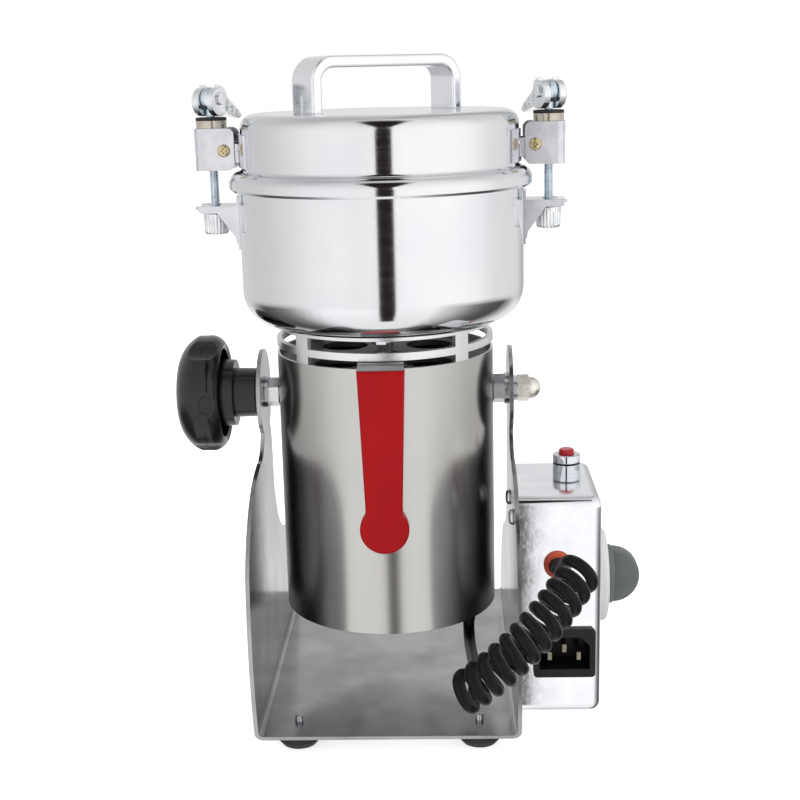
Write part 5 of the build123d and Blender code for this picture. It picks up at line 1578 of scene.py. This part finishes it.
@dataclass
class Bowl:
    """The bowl and lid with their fittings and the blades inside.

    Attributes:
        wall: Radius of the hinge plates' outer face.
        rivet: Radius of a rivet head.
        rivet_rise: Height of a rivet head.
        rivet_side: Distance of a rivet from the middle plane.
        rivet_z: Its height.
        dome_steps: Faces from a rivet's foot to its top.
        rivet_sides: Faces round a rivet.
    """

    wall: float = 68.8
    rivet: float = 1.9
    rivet_rise: float = 0.7
    rivet_side: float = 15.5
    rivet_z: float = 284.0
    dome_steps: int = 6
    rivet_sides: int = 28

    def build(self) -> None:
        """Dresses the bowl, lid and blades and sets the rivets."""
        for name, finish in {
            "bowl": BOWL_STEEL,
            "lid": BOWL_STEEL,
            "lid_handle": CHROME_BAR,
            "lid_seal": CLEAR_SILICONE,
            "shaft_seal": BLADE_STEEL,
            "hex_screws": CHROME,
            "fork_brackets": LATCH_STEEL,
            "hinge_plates": LATCH_STEEL,
            "lower_blade": BLADE_STEEL,
            "upper_blade": BLADE_STEEL,
            "blade_spacers": BLADE_STEEL,
            "blade_nut": BLADE_STEEL,
        }.items():
            node(name, finish)
        self.rivets()

    def rivets(self) -> None:
        """Sets four domed rivets through the hinge plates' wings."""
        dome = [(self.rivet, 0.0)]
        for step in range(1, self.dome_steps + 1):
            turn = math.pi / 2 * step / self.dome_steps
            dome.append((self.rivet * math.cos(turn) + ON_AXIS, self.rivet_rise * math.sin(turn)))
        head = turned_mesh(dome, self.rivet_sides)
        places = []
        for side in (-1, 1):
            for y in (-self.rivet_side, self.rivet_side):
                x = side * math.sqrt(self.wall**2 - y**2)
                places.append(facing(place(x, y, self.rivet_z), Vector((x, y, 0)).normalized()))
        mesh = joined([head] * len(places), places)
        piece("hinge_rivets", mesh, "swing_unit", LATCH_STEEL)


class Side(Enum):
    """Which latch it is."""

    LEFT = "left"
    RIGHT = "right"


@dataclass
class Latch:
    """One toggle latch: a hinged block, an eye rod, a cup nut and a cam lever.

    Attributes:
        side: Which side of the lid it is on.
        rod_x: Distance of the rod from the machine's axis.
        eye_z: Height of the cam pin.
        eye: Outer radius of the eye at the rod's top.
        eye_thick: Its thickness.
        eye_bore: Radius of its hole.
        eye_round: Radius of its rounded outside.
        eye_steps: Faces over that outside.
        eye_sides: Faces round the eye.
        lever_turn: Angle of the lever across the lid.
        rod: Radius of the rod's thread.
        thread_depth: Height of the thread.
        pitch: Rise of the thread per turn.
        thread_end: How far under the cam pin the thread ends.
        neck_low: How far under the pin the plain neck starts.
        neck_high: How far under the pin it ends.
        nut_top: Height of the cup nut's top.
        nut_height: Height of the cup nut.
        nut: Its radius.
        nut_foot: How far its lowest points stand in from its radius, and their height from its foot.
        nut_side: The first of the points up its side, in the same way.
        nut_step: How far each of them stands out and up from the one before.
        nut_rows: How many they are.
        nut_head: How far its upper points stand in, and how far under its top.
        nut_mouth: How far the points round its hole stand out from the rod, and how far under the top.
        flute_edge: How far in from its radius the flutes begin.
        flutes: How many flutes it has.
        flute_depth: How deep they are.
        flute_power: Power that narrows a flute and broadens the rib beside it.
        flute_faces: Faces across one flute.
        nut_band: Height of the plain band at its top.
        buffer_low: Underside of the rubber ring on the collar.
        buffer_high: Its top.
        buffer_radius: Its radius.
        buffer_gap: How far its hole clears the rod.
        buffer_foot: How far its lower points stand in from its radius, and how far over its underside.
        buffer_head: How far its upper points stand in, and how far under its top.
    """

    side: Side
    rod_x: float = 82.0
    eye_z: float = 307.5
    eye: float = 5.5
    eye_thick: float = 4.8
    eye_bore: float = 2.05
    eye_round: float = 0.9
    eye_steps: int = 12
    eye_sides: int = 44
    lever_turn: float = 64.0
    rod: float = 2.35
    thread_depth: float = 0.5
    # The real thread rises 0.8 mm a turn, too fine to show, so it is drawn coarser
    pitch: float = 1.25
    thread_end: float = 7.5
    neck_low: float = 8.2
    neck_high: float = 4.6
    nut_top: float = 253.2
    nut_height: float = 11.0
    nut: float = 6.2
    nut_foot: Outline = ((0.8, 0.0), (0.25, 0.7))
    nut_side: tuple[float, float] = (0.2, 0.8)
    nut_step: tuple[float, float] = (0.02, 0.9)
    nut_rows: int = 9
    nut_head: Outline = ((0.0, 1.6), (0.0, 1.0), (0.5, 0.6), (1.8, 0.25))
    nut_mouth: Outline = ((0.9, 0.0), (0.0, 0.1))
    flute_edge: float = 0.3
    flutes: int = 22
    flute_depth: float = 0.34
    flute_power: int = 3
    flute_faces: int = 8
    nut_band: float = 1.7
    buffer_low: float = 296.9
    buffer_high: float = 298.7
    buffer_radius: float = 7.5
    buffer_gap: float = 0.6
    buffer_foot: Outline = ((0.3, 0.0), (0.0, 0.4))
    buffer_head: Outline = ((0.0, 0.5), (0.15, 0.15), (0.5, 0.0))

    def build(self) -> None:
        """Dresses the latch and builds its rubber buffer, rod and nut."""
        name = self.side.value
        node(f"{name}_latch_block", LATCH_STEEL)
        node(f"{name}_cam_washers", NICKEL)
        node(f"{name}_cam_lever", CAST_CHROME)
        node(f"{name}_cam_pin", CAST_CHROME)
        self.buffer()
        self.eye_rod()
        self.cup_nut()

    def mirrored(self) -> Matrix:
        """The place of the left latch's own axes, or of its mirror image on the right."""
        flip = Matrix.Scale(-1, 4, Vector((1, 0, 0))) if self.side is Side.RIGHT else Matrix.Identity(4)
        return Matrix.Translation(place(0, 0, 0)) @ flip

    def on_rod(self) -> Matrix:
        """The place of the rod's own axis on the table."""
        return self.mirrored() @ Matrix.Translation(Vector((-self.rod_x, 0, 0)) * MM)

    def buffer(self) -> None:
        """Lays the rubber ring on the collar, where the cam presses on it."""
        low, high, reach = self.buffer_low, self.buffer_high, self.buffer_radius
        hole = self.rod + self.buffer_gap
        outline = [(hole, low)]
        outline += [(reach - inward, low + height) for inward, height in self.buffer_foot]
        outline += [(reach - inward, high - under) for inward, under in self.buffer_head]
        outline += [(hole, high), (hole, low)]
        mesh = joined([turned_mesh(outline)], [self.on_rod()])
        name = self.side.value
        piece(f"{name}_rubber_buffer", mesh, f"{name}_block", FOOT_RUBBER)

    def eye_rod(self) -> None:
        """Builds the threaded rod and the ring at its top."""
        foot, end = self.nut_top - self.nut_height + 1, self.eye_z - self.thread_end
        thread = threaded_mesh(self.rod, foot, end, self.pitch, self.thread_depth)
        low, high = self.eye_z - self.neck_low, self.eye_z - self.neck_high
        neck = turned_mesh([(ON_AXIS, low), (self.rod, low), (self.rod, high), (ON_AXIS, high)], ROD_SIDES)
        half = self.eye_thick / 2
        ring = [(self.eye_bore, -half)]
        for step in range(self.eye_steps + 1):
            turn = math.pi * (step / self.eye_steps - 0.5)
            reach = self.eye - self.eye_round + self.eye_round * math.cos(turn)
            ring.append((reach, half * math.sin(turn)))
        ring += [(self.eye_bore, half), (self.eye_bore, -half)]
        eye = turned_mesh(ring, self.eye_sides)
        across = math.radians(self.lever_turn)
        pin = Vector((-math.sin(across), math.cos(across), 0))
        ring_place = self.mirrored() @ facing(Vector((-self.rod_x, 0, self.eye_z)) * MM, pin)
        mesh = joined([thread, neck, eye], [self.on_rod(), self.on_rod(), ring_place])
        name = self.side.value
        made = piece(f"{name}_threaded_eye_rod", mesh, f"{name}_rod", ZINC_THREAD)
        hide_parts(f"{name}_eye_rod")

    def cup_nut(self) -> None:
        """Builds the cup nut with its flutes and domed seat."""
        top, low = self.nut_top, self.nut_top - self.nut_height
        bore, nut = self.rod, self.nut
        inset, first = self.nut_side
        out, up = self.nut_step
        outline = [(bore, low)]
        outline += [(nut - inward, low + height) for inward, height in self.nut_foot]
        outline += [(nut - inset + out * step, low + first + up * step) for step in range(self.nut_rows)]
        outline += [(nut - inward, top - under) for inward, under in self.nut_head]
        outline += [(bore + outward, top - under) for outward, under in self.nut_mouth]
        outline.append((bore, low))

        def fluted(angle: float, radius: float, height: float) -> float:
            """Presses the flutes into the nut's side, under its plain top band.

            Args:
                angle: Angle round the nut.
                radius: Radius of the outline's point.
                height: Its height.

            Returns:
                The radius there.
            """
            if radius <= nut - self.flute_edge or height >= top - self.nut_band:
                return radius
            return radius - self.flute_depth * abs(math.sin(angle * self.flutes / 2)) ** self.flute_power

        mesh = joined([turned_mesh(outline, self.flutes * self.flute_faces, fluted)], [self.on_rod()])
        name = self.side.value
        made = piece(f"{name}_fluted_nut", mesh, f"{name}_rod", CAST_CHROME)
        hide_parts(f"{name}_cup_nut")


@dataclass
class SwingScrews:
    """The two screws that the latches swing on, with their crossed heads.

    Attributes:
        pivot_x: Distance of a screw from the machine's axis.
        pivot_z: Its height.
        head_face: Place of its head's face, before the machine's middle.
        tail_face: Place of its nut's face, behind it.
        tail: Outline of the nut at its end.
        tail_sides: Sides of that nut.
        screw: The screw.
    """

    pivot_x: float = 75.0
    pivot_z: float = 283.0
    head_face: float = -11.9
    tail_face: float = 12.1
    tail: Outline = ((ON_AXIS, 0.0), (2.5, 0.0), (3.0, -0.3), (3.0, -1.8), (ON_AXIS, -1.8))
    tail_sides: int = 6
    screw: PanScrew = field(
        default_factory=lambda: PanScrew(head=3.1, rise=1.6, shank=1.8, length=20.6, pitch=0.6, cross=3.7)
    )

    def build(self) -> None:
        """Puts in both screws and the nuts behind them."""
        screw = self.screw.mesh()
        tail = turned_mesh(self.tail, self.tail_sides)
        meshes, places = [], []
        for side in (-1, 1):
            x = side * self.pivot_x
            meshes += [screw, tail]
            places.append(facing(place(x, self.head_face, self.pivot_z), Vector((0, -1, 0))))
            places.append(facing(place(x, self.tail_face, self.pivot_z), Vector((0, 1, 0))))
        mesh = joined(meshes, places)
        made = piece("crossed_swing_screws", mesh, "swing_unit", YELLOW_ZINC)
        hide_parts("latch_screws")


def main() -> None:
    """Builds the scene, each sub-assembly in turn, and notes the sizes."""
    logging.basicConfig(level=logging.INFO, format="%(name)s: %(message)s")
    bpy.context.scene.view_settings.view_transform = "Standard"
    assemblies = [
        Studio(),
        CurledCord(),
        Stand(),
        SwitchBox(),
        MotorUnit(),
        ClampWheel(),
        Bowl(),
        Latch(Side.LEFT),
        Latch(Side.RIGHT),
        SwingScrews(),
    ]
    for assembly in assemblies:
        assembly.build()
        log.info("%s is done", type(assembly).__name__)


if __name__ == "__main__":
    main()
